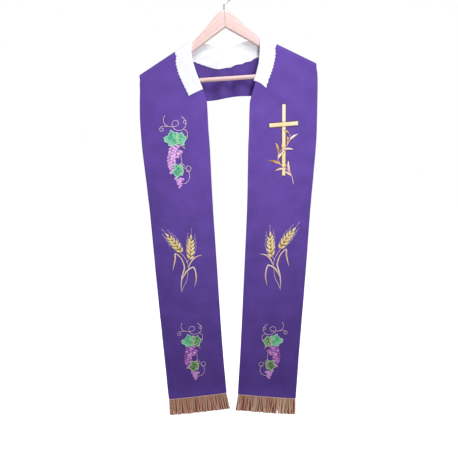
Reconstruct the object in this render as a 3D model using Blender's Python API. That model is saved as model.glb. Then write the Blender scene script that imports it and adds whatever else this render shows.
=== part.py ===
"""An embroidered clerical stole hung on a wooden hanger, as closed solids.

Metres, +Z up, +X to the viewer's right, +Y away from the viewer. The origin is the top of the
hook's inner curve, where the rail bears. The hanger leans a little on its hook, so the shoulders
and the back follow the lean while the two fronts hang plumb below them.

The stole is one strip. Its flat plan is rolled over each sloping arm of the hanger: "along" runs
outwards down the arm and "over" is the distance across the shoulder, negative to the front and
positive to the back. Stations number the sections of the strip from a hem to the centre back.
"""

import math

import bmesh
import bpy
import numpy as np
from mathutils import Matrix

# Hanger
HOOK_INNER_RADIUS = 0.018
HOOK_WIRE_RADIUS = 0.002
HOOK_ARC_FROM = -60.0  # degrees, where the shank joins the arc
HOOK_ARC_TO = 205.0  # degrees, the hook's tip
SHANK_BEND_DROP = 0.047
SHANK_END_DROP = 0.082
LEAN = math.radians(2.8)  # the right arm rides higher
ARM_THICKNESS = 0.014
ARM_ROUNDING = 0.006
ARM_END_ROUNDING = 0.98  # the most of an arm's height that its rounding takes, near its end
ARM_SLOPE = math.radians(29.1)
BAR_RADIUS = 0.0065
BAR_DROP = 0.2465
BAR_HALF_LENGTH = 0.218
SOCKET_FROM = 0.150  # the cutter of a bar socket starts this far out, clear of the wood
BORE_FROM = 0.040  # and the cutter of the hook's bore this far down, above the wood
FIT_GAP = 0.0003

# Cloth
CLOTH = 0.0022
COLLAR_CLOTH = 0.0012
LAYER_GAP = 0.0005
SEAM_GAP = 0.0003
FOLD_RADIUS = 0.0106  # middle of the wall, round the top of an arm
FOLD_AXIS_DROP = 0.0932  # where the two fold axes would meet on the centre line
NECK_ALONG = 0.111
SHOULDER_ALONG = 0.2812
FRONT_CENTRE = 0.0096  # the fronts hang about a line this far right of the hook
HEM_CENTRE = 0.0070  # and this far right of it at their hems
HEM_CENTRE_FROM = 0.55
HEM_CENTRE_TO = 1.15
PLUMB_FROM = 0.19  # drop where the fronts start to leave the hanger's lean
PLUMB_TO = 0.36
HEM_LAG = 0.0025  # the right front ends this much lower, the left this much higher
NECK_SLIP = {-1: 0.0048, 1: 0.0012}  # the neck edges of the fronts sit this far to the left
SEAM_SLIP = 0.009  # the centre-back seam sits this far right of the middle
SETTLE = 0.030  # below the fold's turn, folds and slips reach their full depth over this much
HANG_SETTLE = 0.060  # and the fronts leave the hanger's lean over this much
NECK_TURN = (0.096, 0.1413)  # out and drop of the neck edge just behind the shoulder's top

# Sections of a front, hem first: how far each edge lies from the centre line and below the hook
FRONT_SECTIONS = [
    # inner_out, inner_drop, outer_out, outer_drop
    (0.0178, 1.180, 0.1906, 1.197),
    (0.0273, 1.045, 0.2005, 1.062),
    (0.0360, 0.891, 0.2125, 0.909),
    (0.0440, 0.741, 0.2236, 0.759),
    (0.0515, 0.594, 0.2340, 0.613),
    (0.0560, 0.449, 0.2470, 0.470),
    (0.0591, 0.392, 0.2510, 0.415),
    (0.0610, 0.335, 0.2528, 0.362),
    (0.0634, 0.307, 0.2530, 0.339),
    (0.0795, 0.256, 0.2530, 0.301),
    (0.0913, 0.212, 0.2528, 0.272),
    (0.0975, 0.170, 0.2524, 0.247),
]
# Sections of half the back, from behind the shoulder to the middle, in the hanger's own lean
BACK_SECTIONS = [
    # neck_out, neck_drop, low_out, low_drop
    (0.0900, 0.1423, 0.2459, 0.2329),
    (0.0820, 0.1436, 0.2420, 0.2530),
    (0.0700, 0.1455, 0.2290, 0.2750),
    (0.0560, 0.1485, 0.2000, 0.2910),
    (0.0420, 0.1520, 0.1520, 0.3000),
    (0.0280, 0.1550, 0.1000, 0.3025),
    (0.0140, 0.1578, 0.0500, 0.3015),
    (0.0000, 0.1587, 0.0000, 0.2990),
]
# Soft upright folds of the back: place across, half width, depth (away from the viewer)
BACK_FOLDS = [
    # across, half_width, depth
    (-0.052, 0.016, 0.006),
    (-0.020, 0.013, -0.005),
    (0.004, 0.010, 0.005),
    (0.034, 0.016, -0.006),
    (0.070, 0.016, 0.007),
    (-0.120, 0.030, 0.003),
    (0.130, 0.030, 0.003),
]
BACK_SAG = 0.005  # how far the middle of the back stands off the plane of the shoulders
BACK_SAG_REACH = 0.200  # how far out from the middle the sag reaches
BACK_FLAT_TO = (0.138, 0.165)  # drops between which the back's folds set in
BACK_FOLD_FADE = (0.05, 0.90)  # and the shares of its width over which they deepen
BACK_LOW_WAVE = 0.005  # the low edge dips on the left and lifts on the right
BACK_WAVE_LENGTH = 0.045
BACK_WAVE_REACH = 0.090
# Shallow folds of the fronts: which front (-1 left), drop, share of the width, reach down,
# reach across, and depth towards the viewer
FRONT_FOLDS = [
    # side, drop, across, reach_down, reach_across, depth
    (-1, 0.36, 0.30, 0.05, 0.30, 0.0020),
    (-1, 0.62, 0.20, 0.16, 0.25, -0.0025),
    (-1, 0.98, 0.75, 0.20, 0.35, 0.0030),
    (1, 0.40, 0.65, 0.10, 0.25, -0.0020),
    (1, 0.74, 0.25, 0.18, 0.30, 0.0030),
    (1, 1.06, 0.70, 0.14, 0.35, -0.0025),
]
FRONT_BOW = 0.0030  # the middle of a front stands this far proud of its edges
FRONT_BOW_FROM = (0.26, 0.42)  # drops between which the bow sets in

# Collar guard, folded over the neck edge
COLLAR_END = {-1: 0.277, 1: 0.255}  # drop of each front end, at the neck edge
COLLAR_END_SKEW = 0.21  # stations by which the far corner of an end hangs lower
COLLAR_DEPTHS = [
    # place, left, right
    ("end", 0.038, 0.033),
    ("front", 0.053, 0.048),
    ("shoulder", 0.057, 0.055),
    ("back", 0.059, 0.057),
    ("middle", 0.059, 0.059),
]
COLLAR_COLUMNS = 4
PLAIN_COLUMNS = 5

# Fringe
FRINGE_LENGTH = 0.052
FRINGE_HEADING = 0.006
FRINGE_THICKNESS = 0.0026
FRINGE_STRANDS = 56
FRINGE_FILL = 0.76  # share of the pitch that a strand takes
FRINGE_STEPS = 2
FRINGE_SEED = 11
FRINGE_TRIM = 0.05  # how unevenly the ends are cut, as a share of the length
FRINGE_STAGGER = 0.0016  # neighbours hang this far before and behind the hem's plane
FRINGE_SWAY = 0.0011
FRINGE_SWAY_TURNS = 4
FRINGE_SPLAY = 0.005  # the outermost strands spread this far past the cloth
FRINGE_SPLAY_REACH = 0.10
STRAND_TAPER = 0.97
STRAND_TIP = 0.75
# Where strands part or splay: which fringe, share of the width, reach as a share, sideways spread
FRINGE_PARTINGS = [
    # side, across, reach, spread
    (-1, 0.36, 0.05, 0.0012),
    (-1, 0.72, 0.05, 0.0010),
    (1, 0.30, 0.05, 0.0010),
    (1, 0.69, 0.06, 0.0030),
]

# Half of the hanger's wood: its top and bottom edge along the arm
ARM_PROFILE = [
    # out, top_drop, bottom_drop
    (0.0000, 0.0555, 0.1055),
    (0.0080, 0.0560, 0.1106),
    (0.0140, 0.0592, 0.1144),
    (0.0200, 0.0647, 0.1183),
    (0.0400, 0.0847, 0.1310),
    (0.0600, 0.1050, 0.1438),
    (0.0740, 0.1187, 0.1527),
    (0.0840, 0.1282, 0.1591),
    (0.0910, 0.1350, 0.1636),
    (0.0980, 0.1404, 0.1680),
    (0.1300, 0.1581, 0.1885),
    (0.1700, 0.1804, 0.2140),
    (0.1980, 0.1967, 0.2340),
    (0.2080, 0.2022, 0.2450),
    (0.2160, 0.2067, 0.2545),
    (0.2240, 0.2112, 0.2585),
    (0.2310, 0.2163, 0.2572),
    (0.2355, 0.2235, 0.2525),
    (0.2370, 0.2300, 0.2460),
]

COLOURS = {
    # name: (red, green, blue), roughness, metallic
    "purple_cloth": ((0.105, 0.050, 0.290), 0.85, 0.0),
    "white_cotton": ((0.86, 0.87, 0.90), 0.90, 0.0),
    "antique_gold_cord": ((0.36, 0.19, 0.11), 0.55, 0.2),
    "beech": ((0.72, 0.47, 0.36), 0.50, 0.0),
    "steel": ((0.62, 0.62, 0.64), 0.30, 1.0),
}


def clear_scene():
    for obj in list(bpy.data.objects):
        bpy.data.objects.remove(obj)


def material(name):
    colour, roughness, metallic = COLOURS[name]
    made = bpy.data.materials.get(name) or bpy.data.materials.new(name)
    made.use_nodes = True
    shader = made.node_tree.nodes["Principled BSDF"]
    shader.inputs["Base Color"].default_value = (*colour, 1.0)
    shader.inputs["Roughness"].default_value = roughness
    shader.inputs["Metallic"].default_value = metallic
    return made


def new_collection(name):
    made = bpy.data.collections.new(name)
    bpy.context.scene.collection.children.link(made)
    return made


def smooth_step(value, low, high):
    share = np.clip((np.asarray(value, float) - low) / (high - low), 0.0, 1.0)
    return share * share * (3 - 2 * share)


# ---------------------------------------------------------------- the strip's flat plan


def to_plan(out, drop, face):
    """(along, over) of a point that lies on the front (face -1) or back (face 1) of the fold."""
    below = (drop - FOLD_AXIS_DROP) * math.cos(ARM_SLOPE) - out * math.sin(ARM_SLOPE)
    along = out * math.cos(ARM_SLOPE) + (drop - FOLD_AXIS_DROP) * math.sin(ARM_SLOPE)
    quarter = FOLD_RADIUS * math.pi / 2
    if below >= 0:
        return along, face * (quarter + below)
    return along, face * FOLD_RADIUS * math.acos(min(1.0, -below / FOLD_RADIUS))


def plan_rows():
    """The key sections of half a strip as (inner along, inner over, outer along, outer over)."""
    quarter = FOLD_RADIUS * math.pi / 2
    rows = [
        (*to_plan(inner_out, inner_drop, -1), *to_plan(outer_out, outer_drop, -1))
        for inner_out, inner_drop, outer_out, outer_drop in FRONT_SECTIONS
    ]
    corner = SHOULDER_ALONG + FOLD_RADIUS * math.tan(ARM_SLOPE)
    rows.append((NECK_ALONG, -quarter, corner, -quarter))
    rows.append((NECK_ALONG, 0.0, SHOULDER_ALONG, 0.0))
    rows.append((*to_plan(*NECK_TURN, 1), SHOULDER_ALONG, quarter / 2))
    for neck_out, neck_drop, low_out, low_drop in BACK_SECTIONS:
        rows.append((*to_plan(neck_out, neck_drop, 1), *to_plan(low_out, low_drop, 1)))
    neck_out, neck_drop, low_out, low_drop = BACK_SECTIONS[-2]
    rows.append((*to_plan(-neck_out, neck_drop, 1), *to_plan(-low_out, low_drop, 1)))
    rows.insert(0, tuple(2 * np.array(rows[0]) - np.array(rows[1])))
    return np.array(rows)


PLAN = plan_rows()
RIDGE = len(FRONT_SECTIONS) + 1  # station of the shoulder's top
MIDDLE = RIDGE + 1 + len(BACK_SECTIONS)  # station of the centre back


def section(station):
    """Catmull-Rom through the key sections, at stations from 0 (hem) to MIDDLE."""
    station = np.asarray(station, float)
    index = np.clip(np.floor(station).astype(int), 0, MIDDLE - 1)
    t = (station - index)[:, None]
    before, start, end, after = (PLAN[index + step] for step in range(4))
    return 0.5 * (
        2 * start
        + (end - before) * t
        + (2 * before - 5 * start + 4 * end - after) * t**2
        + (3 * start - before - 3 * end + after) * t**3
    )


def fold_depth(side, out, drop, across, face):
    """How far cloth stands off its plane, away from the hanger."""
    if face > 0:
        place = side * out
        fade = smooth_step(across, *BACK_FOLD_FADE)
        depth = BACK_SAG * np.cos(np.clip(place / BACK_SAG_REACH, -1, 1) * math.pi / 2)
        for centre, half_width, height in BACK_FOLDS:
            depth = depth + height * fade * np.exp(-(((place - centre) / half_width) ** 2))
        return depth * smooth_step(drop, *BACK_FLAT_TO)
    bow = FRONT_BOW * (1 - (2 * across - 1) ** 2)
    depth = bow * smooth_step(drop, *FRONT_BOW_FROM)
    for which, centre, middle, reach_down, reach_across, height in FRONT_FOLDS:
        if which == side:
            shape = ((drop - centre) / reach_down) ** 2 + ((across - middle) / reach_across) ** 2
            depth = depth + height * np.exp(-shape)
    return depth


def strip_points(along_strip, across):
    """Points of the strip's middle surface. along_strip runs from -MIDDLE (left hem) through 0
    (centre back) to MIDDLE (right hem); across is 0 at the neck edge and 1 at the outer edge."""
    along_strip = np.asarray(along_strip, float)
    across = np.broadcast_to(np.asarray(across, float), along_strip.shape)
    side = np.where(along_strip < 0, -1.0, 1.0)
    row = section(MIDDLE - np.abs(along_strip))
    along = row[:, 0] + (row[:, 2] - row[:, 0]) * across
    over = row[:, 1] + (row[:, 3] - row[:, 1]) * across
    quarter = FOLD_RADIUS * math.pi / 2
    turned = np.clip(over / FOLD_RADIUS, -math.pi / 2, math.pi / 2)
    below = np.maximum(np.abs(over) - quarter, 0.0) - FOLD_RADIUS * np.cos(turned)
    depth = FOLD_RADIUS * np.sin(turned)
    out = along * math.cos(ARM_SLOPE) - below * math.sin(ARM_SLOPE)
    drop = FOLD_AXIS_DROP + along * math.sin(ARM_SLOPE) + below * math.cos(ARM_SLOPE)
    stand_off = np.zeros_like(depth)
    for which in (-1, 1):
        for face in (-1, 1):
            here = (side == which) & (np.sign(over) == face)
            part = fold_depth(which, out[here], drop[here], across[here], face)
            settle = smooth_step(np.abs(over[here]), quarter, quarter + SETTLE)
            stand_off[here] = face * part * settle
    dip = BACK_LOW_WAVE * across * np.sin(side * out / BACK_WAVE_LENGTH)
    dip = dip * np.exp(-((out / BACK_WAVE_REACH) ** 2))
    dip = dip * smooth_step(over, quarter, quarter + SETTLE)
    x, z = lean(side * out, -(drop - dip))
    plumb = smooth_step(drop, PLUMB_FROM, PLUMB_TO)
    plumb = plumb * smooth_step(-over, quarter, quarter + HANG_SETTLE)
    drift = (HEM_CENTRE - FRONT_CENTRE) * smooth_step(drop, HEM_CENTRE_FROM, HEM_CENTRE_TO)
    x = x + (FRONT_CENTRE + drift + side * out - x) * plumb
    slip = np.where(side < 0, NECK_SLIP[-1], NECK_SLIP[1])
    slip = slip * smooth_step(-over, 0, quarter + SETTLE)
    x = x - slip * (1 - across) * (1 - plumb)
    z = z + (-drop - side * HEM_LAG - z) * plumb
    return np.stack([x, depth + stand_off, z], axis=1)


def lean(x, z):
    """Turns the hanger's own x and z about the middle of the hook's curve."""
    z = z + HOOK_INNER_RADIUS
    turned_z = x * math.sin(LEAN) + z * math.cos(LEAN) - HOOK_INNER_RADIUS
    return x * math.cos(LEAN) - z * math.sin(LEAN), turned_z


def strip_frame(along_strip, across):
    """Points, unit normals (towards the hanger) and unit directions across the strip."""
    along_strip = np.asarray(along_strip, float)
    across = np.broadcast_to(np.asarray(across, float), along_strip.shape)
    step = 1e-3
    middle = strip_points(along_strip, across)
    sideways = strip_points(along_strip, across + step) - strip_points(along_strip, across - step)
    onwards = strip_points(along_strip + step, across) - strip_points(along_strip - step, across)
    normal = np.cross(sideways, onwards)
    unit = normal / np.linalg.norm(normal, axis=1, keepdims=True)
    return middle, unit, sideways / np.linalg.norm(sideways, axis=1, keepdims=True)


def strip_width(along_strip):
    """The strip's width at each place along it."""
    along_strip = np.asarray(along_strip, float)
    steps = np.linspace(0, 1, 9)
    rails = np.stack([strip_points(along_strip, share) for share in steps])
    return np.linalg.norm(np.diff(rails, axis=0), axis=2).sum(axis=0)


# ---------------------------------------------------------------- making solids


def solid_from_rings(name, rings, finish, collection):
    """A closed body through rings of equal count. Each ring is one skin, then the other skin
    backwards, so that its ends close with a strip of quads."""
    rings = np.asarray(rings, float)
    count, around = rings.shape[:2]
    shape = bmesh.new()
    grid = [[shape.verts.new(point) for point in ring] for ring in rings]
    for first, second in zip(grid, grid[1:]):
        for j in range(around):
            k = (j + 1) % around
            shape.faces.new((first[j], first[k], second[k], second[j]))
    for ring in (grid[0], grid[-1]):
        for j in range(around // 2 - 1):
            shape.faces.new((ring[j], ring[j + 1], ring[-2 - j], ring[-1 - j]))
    bmesh.ops.recalc_face_normals(shape, faces=shape.faces)
    return mesh_object(name, shape, finish, collection)


def mesh_object(name, shape, finish, collection, smooth=35.0):
    mesh = bpy.data.meshes.new(name)
    shape.to_mesh(mesh)
    shape.free()
    mesh.materials.append(material(finish))
    mesh.shade_smooth()
    mesh.set_sharp_from_angle(angle=math.radians(smooth))
    made = bpy.data.objects.new(name, mesh)
    collection.objects.link(made)
    return made


def spread(start, end, per_row):
    """Stations from start to end, per_row to each key section."""
    steps = max(1, round(abs(end - start) * per_row))
    return np.linspace(start, end, steps + 1)


def wall_columns(station):
    """Shares of the width where the wall has points: the collar's own, then the plain cloth's."""
    collar = collar_depth(station) / strip_width([station])[0]
    return np.concatenate(
        [
            np.linspace(0, collar, COLLAR_COLUMNS),
            np.linspace(collar, 1, PLAIN_COLUMNS + 1)[1:],
        ]
    )


def wall_rings(stations):
    rings = []
    for station in stations:
        columns = wall_columns(station)
        middle, normal, _ = strip_frame(np.full(len(columns), station), columns)
        half = normal * CLOTH / 2
        rings.append(np.concatenate([middle + half, (middle - half)[::-1]]))
    return rings


def station_of_middle_seam():
    """The place along the strip where the back's mid height is SEAM_SLIP from the centre."""
    tries = np.linspace(0, 2, 401)
    gap = np.abs(strip_points(tries, 0.5)[:, 0] - strip_points([0.0], 0.5)[0, 0] - SEAM_SLIP)
    return float(tries[np.argmin(gap)])


def seam_shift(station, towards):
    """The station half a seam's gap from the given one."""
    step = 1e-3
    ends = strip_points([station, station + step], 0.5)
    return station + towards * step * (SEAM_GAP / 2) / np.linalg.norm(ends[1] - ends[0])


def front_stations(side):
    """From the shoulder's top down to the hem, with one section at the collar's end."""
    ridge = MIDDLE - RIDGE
    stations = [*spread(ridge, ridge + 1, 4), *spread(ridge + 1, MIDDLE, 2)[1:]]
    end = abs(collar_end_station(side))
    nearest = int(np.argmin(np.abs(np.array(stations) - end)))
    stations[nearest] = end
    return [side * station for station in stations]


def back_stations(side):
    """From the centre back to the shoulder's top."""
    ridge = MIDDLE - RIDGE
    stations = [*spread(0, ridge - 2, 3)[:-1], *spread(ridge - 2, ridge, 2)]
    return [side * station for station in stations]


def add_cloth(collection):
    seam = station_of_middle_seam()
    parts = {
        "front_left": front_stations(-1)[::-1],
        "back_left": [*back_stations(-1)[::-1], seam],
        "back_right": [seam, *(s for s in back_stations(1) if s > seam + 0.1)],
        "front_right": front_stations(1),
    }
    for name, stations in parts.items():
        if name != "front_left":
            stations[0] = seam_shift(stations[0], 1)
        if name != "front_right":
            stations[-1] = seam_shift(stations[-1], -1)
        solid_from_rings(name, wall_rings(stations), "purple_cloth", collection)


# ---------------------------------------------------------------- collar guard


def collar_end_station(side):
    """The station where the neck edge reaches the collar's front end."""
    tries = np.linspace(MIDDLE - RIDGE, MIDDLE, 2001)
    drop = -strip_points(side * tries, 0.0)[:, 2]
    return side * float(tries[np.argmax(drop > COLLAR_END[side])])


def collar_depth(station):
    """The collar's depth from the neck edge, the same outside and inside."""
    ridge = MIDDLE - RIDGE
    side = -1 if station < 0 else 1
    end = abs(collar_end_station(side))
    places = [0.0, ridge * 0.55, ridge, ridge + (end - ridge) * 0.5, end]
    depths = [right if side > 0 else left for _, left, right in reversed(COLLAR_DEPTHS)]
    return float(np.interp(abs(station), places, depths))


def collar_stations():
    fronts = {}
    for side in (-1, 1):
        end = abs(collar_end_station(side))
        fronts[side] = [s for s in front_stations(side) if abs(s) <= end + 1e-9]
    seam = station_of_middle_seam()
    backs = [*back_stations(-1)[::-1], seam, *(s for s in back_stations(1) if s > seam + 0.1)]
    return [*fronts[-1][::-1], *backs[1:-1], *fronts[1]]


def collar_skin(station, skew, lift):
    """From the inside edge, round the neck edge at that lift, to the outside edge."""
    shares = np.linspace(0, 1, COLLAR_COLUMNS)
    columns = shares * collar_depth(station) / strip_width([station])[0]
    middle, normal, _ = strip_frame(station + skew * shares, columns)
    edge, edge_normal, across = strip_frame([station], 0.0)
    turns = np.radians([45, 90, 135])[:, None]
    wrap = edge + lift * (np.cos(turns) * edge_normal - np.sin(turns) * across)
    return np.concatenate([(middle + normal * lift)[::-1], wrap, middle - normal * lift])


def add_collar(collection):
    lift = CLOTH / 2 + LAYER_GAP + COLLAR_CLOTH / 2
    stations = collar_stations()
    rings = []
    for station in stations:
        last = station in (stations[0], stations[-1])
        skew = math.copysign(COLLAR_END_SKEW, station) if last else 0.0
        over = collar_skin(station, skew, lift + COLLAR_CLOTH / 2)
        under = collar_skin(station, skew, lift - COLLAR_CLOTH / 2)
        rings.append(np.concatenate([over, under[::-1]]))
    solid_from_rings("collar", rings, "white_cotton", collection)


# ---------------------------------------------------------------- fringe


def strand_path(side, share, fall, wander):
    """Sideways and depth offsets of a strand at share of the width, fall from 0 to 1."""
    sideways = 0.0
    for which, centre, reach, spread_out in FRINGE_PARTINGS:
        if which == side:
            away = (share - centre) / reach
            sideways += spread_out * math.copysign(1, away) * math.exp(-abs(away))
    ends = math.exp(-(1 - share) / FRINGE_SPLAY_REACH) - math.exp(-share / FRINGE_SPLAY_REACH)
    sideways += FRINGE_SPLAY * ends
    sideways += FRINGE_SWAY * math.sin(2 * math.pi * FRINGE_SWAY_TURNS * share + side)
    return sideways * fall**1.5, FRINGE_STAGGER * wander * fall


def add_fringe(name, side, collection):
    """A heading strip just under the hem, with strands drawn down out of its underside."""
    hem = side * MIDDLE
    pitch = 1 / FRINGE_STRANDS
    edges = [0.0]
    for index in range(FRINGE_STRANDS):
        edges += [(index + 0.5 - FRINGE_FILL / 2) * pitch, (index + 0.5 + FRINGE_FILL / 2) * pitch]
    edges.append(1.0)
    across = np.array(edges)
    middle, normal, over = strip_frame(np.full(len(across), hem), across)
    down = np.cross(normal, over) * side
    down = down / np.linalg.norm(down, axis=1, keepdims=True)
    half = normal * FRINGE_THICKNESS / 2
    top = middle + down * SEAM_GAP
    foot = top + down * FRINGE_HEADING
    shape = bmesh.new()
    corners = [top + half, foot + half, foot - half, top - half]
    grid = [[shape.verts.new(row[j]) for row in corners] for j in range(len(across))]
    strands = []
    for j, (first, second) in enumerate(zip(grid, grid[1:])):
        for k in range(4):
            face = shape.faces.new((first[k], first[k - 3], second[k - 3], second[k]))
            if k == 1 and j % 2 == 1:
                strands.append((j, face))
    shape.faces.new(grid[0])
    shape.faces.new(grid[-1])
    draw = np.random.default_rng(FRINGE_SEED + side)
    length = FRINGE_LENGTH - FRINGE_HEADING
    for j, face in strands:
        share = (across[j] + across[j + 1]) / 2
        wander = -1.0 if (j // 2) % 2 else 1.0
        trim = length * (1 - FRINGE_TRIM * draw.random())
        centre = foot[j : j + 2].mean(axis=0)
        previous = np.zeros(3)
        for step in range(1, FRINGE_STEPS + 1):
            fall = step / FRINGE_STEPS
            sideways, forward = strand_path(side, share, fall, wander)
            offset = over[j] * sideways + normal[j] * forward + down[j] * trim * fall
            face = bmesh.ops.extrude_discrete_faces(shape, faces=[face])["faces"][0]
            bmesh.ops.translate(shape, verts=face.verts, vec=tuple(offset - previous))
            narrow = STRAND_TAPER if step < FRINGE_STEPS else STRAND_TIP
            here = Matrix.Translation(tuple(-(centre + offset)))
            bmesh.ops.scale(shape, verts=face.verts, vec=(narrow,) * 3, space=here)
            previous = offset
    bmesh.ops.recalc_face_normals(shape, faces=shape.faces)
    mesh_object(name, shape, "antique_gold_cord", collection)


# ---------------------------------------------------------------- hanger


def arm_ring(side, out, top_drop, bottom_drop, slope):
    """A rounded upright section of an arm, from its foot up the front and down the back."""
    half = ARM_THICKNESS / 2
    tall = (bottom_drop - top_drop) / 2
    rise = min(ARM_ROUNDING / math.cos(slope), tall * ARM_END_ROUNDING)
    points = []
    for start, y_sign, z_sign in ((270, -1, -1), (180, -1, 1), (90, 1, 1), (0, 1, -1)):
        for turn in (0, 30, 60, 90):
            angle = math.radians(start - turn)
            y = y_sign * (half - ARM_ROUNDING) + ARM_ROUNDING * math.cos(angle)
            z = z_sign * (tall - rise) + rise * math.sin(angle)
            points.append((side * out, y, z - (top_drop + bottom_drop) / 2))
    return points


def hook_path():
    """Centre line of the hook, from inside the wood to its tip."""
    radius = HOOK_INNER_RADIUS + HOOK_WIRE_RADIUS
    start = math.radians(HOOK_ARC_FROM)
    join = np.array([radius * math.cos(start), radius * math.sin(start) - HOOK_INNER_RADIUS])
    tangent = np.array([-math.sin(start), math.cos(start)])
    foot = np.array([0.0, -SHANK_BEND_DROP])
    pull = 0.55 * np.linalg.norm(join - foot)
    points = [np.array([0.0, -SHANK_END_DROP]), foot]
    for t in np.linspace(0, 1, 8)[1:-1]:
        bend = (
            (1 - t) ** 3 * foot
            + 3 * (1 - t) ** 2 * t * (foot + [0.0, pull])
            + 3 * (1 - t) * t**2 * (join - tangent * pull)
            + t**3 * join
        )
        points.append(bend)
    for angle in np.radians(np.linspace(HOOK_ARC_FROM, HOOK_ARC_TO, 25)):
        points.append(
            np.array([radius * math.cos(angle), radius * math.sin(angle) - HOOK_INNER_RADIUS])
        )
    return points


def cylinder_along(name, radius, start, end, axis, sides, collection):
    """A cylinder from start to end on the X or Z axis of the hanger."""
    shape = bmesh.new()
    bmesh.ops.create_cone(
        shape, cap_ends=True, segments=sides, radius1=radius, radius2=radius, depth=1.0
    )
    middle = [(a + b) / 2 for a, b in zip(start, end)]
    length = math.dist(start, end)
    turn = Matrix.Rotation(math.pi / 2, 4, "Y") if axis == "X" else Matrix.Identity(4)
    place = Matrix.Translation(middle) @ turn @ Matrix.Diagonal((1, 1, length, 1))
    bmesh.ops.transform(shape, matrix=place, verts=shape.verts)
    return mesh_object(name, shape, "beech", collection)


def add_hanger(collection, cutters):
    pivot = bpy.data.objects.new("hanger_pivot", None)
    pivot.location = (0.0, 0.0, -HOOK_INNER_RADIUS)
    pivot.rotation_euler = (0.0, -LEAN, 0.0)
    collection.objects.link(pivot)
    made = []
    profile = np.array(ARM_PROFILE)
    slopes = np.arctan(np.gradient(profile[:, 1], profile[:, 0]))
    for name, side in (("hanger_arm_left", -1), ("hanger_arm_right", 1)):
        rows = profile.copy()
        rows[0, 0] = SEAM_GAP / 2
        rings = [arm_ring(side, *row, min(s, math.pi / 4)) for row, s in zip(rows, slopes)]
        arm = solid_from_rings(name, rings, "beech", collection)
        made.append(arm)
        socket = cylinder_along(
            f"bar_socket_{side}",
            BAR_RADIUS + FIT_GAP,
            (side * SOCKET_FROM, 0, -BAR_DROP),
            (side * (BAR_HALF_LENGTH + FIT_GAP), 0, -BAR_DROP),
            "X",
            16,
            cutters,
        )
        bore = cylinder_along(
            f"hook_bore_{side}",
            HOOK_WIRE_RADIUS + FIT_GAP,
            (0, 0, -SHANK_END_DROP - FIT_GAP),
            (0, 0, -BORE_FROM),
            "Z",
            12,
            cutters,
        )
        for cutter in (socket, bore):
            cutter.hide_render = True
            cutter.display_type = "WIRE"
            made.append(cutter)
            cut = arm.modifiers.new(cutter.name, "BOOLEAN")
            cut.operation = "DIFFERENCE"
            cut.solver = "EXACT"
            cut.object = cutter
    ends = (-BAR_HALF_LENGTH, 0, -BAR_DROP), (BAR_HALF_LENGTH, 0, -BAR_DROP)
    made.append(cylinder_along("hanger_bar", BAR_RADIUS, *ends, "X", 20, collection))
    curve = bpy.data.curves.new("hanger_hook", "CURVE")
    curve.dimensions = "3D"
    curve.bevel_depth = HOOK_WIRE_RADIUS
    curve.bevel_resolution = 2
    curve.use_fill_caps = True
    spline = curve.splines.new("POLY")
    path = hook_path()
    spline.points.add(len(path) - 1)
    for point, (x, z) in zip(spline.points, path):
        point.co = (x, 0.0, z, 1.0)
    curve.materials.append(material("steel"))
    hook = bpy.data.objects.new("hanger_hook", curve)
    collection.objects.link(hook)
    made.append(hook)
    lower = Matrix.Translation((0.0, 0.0, HOOK_INNER_RADIUS))
    for obj in made:
        obj.parent = pivot
        obj.matrix_parent_inverse = lower


def main():
    clear_scene()
    stole = new_collection("clerical_stole")
    cutters = new_collection("cutters")
    add_cloth(stole)
    add_collar(stole)
    add_fringe("fringe_left", -1, stole)
    add_fringe("fringe_right", 1, stole)
    add_hanger(stole, cutters)


main()
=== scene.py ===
import math

import bmesh
import bpy
import numpy as np
from mathutils import Matrix, Vector


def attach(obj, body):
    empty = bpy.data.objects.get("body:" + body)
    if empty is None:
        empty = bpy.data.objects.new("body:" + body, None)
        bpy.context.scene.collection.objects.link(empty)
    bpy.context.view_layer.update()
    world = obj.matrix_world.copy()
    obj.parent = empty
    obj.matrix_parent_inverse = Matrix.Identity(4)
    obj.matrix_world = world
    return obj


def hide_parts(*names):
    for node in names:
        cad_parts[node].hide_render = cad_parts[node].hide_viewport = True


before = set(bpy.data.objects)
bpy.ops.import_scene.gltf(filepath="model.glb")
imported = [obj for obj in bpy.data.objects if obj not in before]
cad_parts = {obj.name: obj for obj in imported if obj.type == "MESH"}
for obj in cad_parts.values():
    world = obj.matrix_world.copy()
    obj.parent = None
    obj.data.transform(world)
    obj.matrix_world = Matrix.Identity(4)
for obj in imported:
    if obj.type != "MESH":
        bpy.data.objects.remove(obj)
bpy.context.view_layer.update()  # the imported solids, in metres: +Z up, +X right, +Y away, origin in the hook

camera = {
    "place": (0.00559, -2.22136, -0.36870),
    "pitch": -8.0,  # degrees, looking down
    "roll": -0.96,
    "lens": 60.0,
    "sensor": 36.0,
}


def addObject(name, data):
    made = bpy.data.objects.new(name, data)
    bpy.context.scene.collection.objects.link(made)
    return made


def addCamera():
    made = addObject("camera", bpy.data.cameras.new("camera"))
    made.data.lens = camera["lens"]
    made.data.sensor_width = camera["sensor"]
    tilt = Matrix.Rotation(math.radians(90 + camera["pitch"]), 4, "X")
    roll = Matrix.Rotation(math.radians(camera["roll"]), 4, "Z")
    made.matrix_world = Matrix.Translation(camera["place"]) @ tilt @ roll
    bpy.context.scene.camera = made


def smoothStep(value, low, high):
    # 3t^2 - 2t^3 of the share t of the way from low to high
    t = np.clip((value - low) / (high - low), 0.0, 1.0)
    return t * t * (3 - 2 * t)


def quarterRound(t):
    # a quarter circle that rises from 0 at t = 0 to 1 at t = 1
    return np.sqrt(1 - (1 - np.clip(t, 0, 1)) ** 2)


def unit(degrees):
    # the flat unit vector at an angle
    turn = np.radians(degrees)
    return np.stack([np.cos(turn), np.sin(turn)], axis=-1)


def normalised(vectors):
    return vectors / np.maximum(np.linalg.norm(vectors, axis=-1, keepdims=True), 1e-12)


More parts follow.
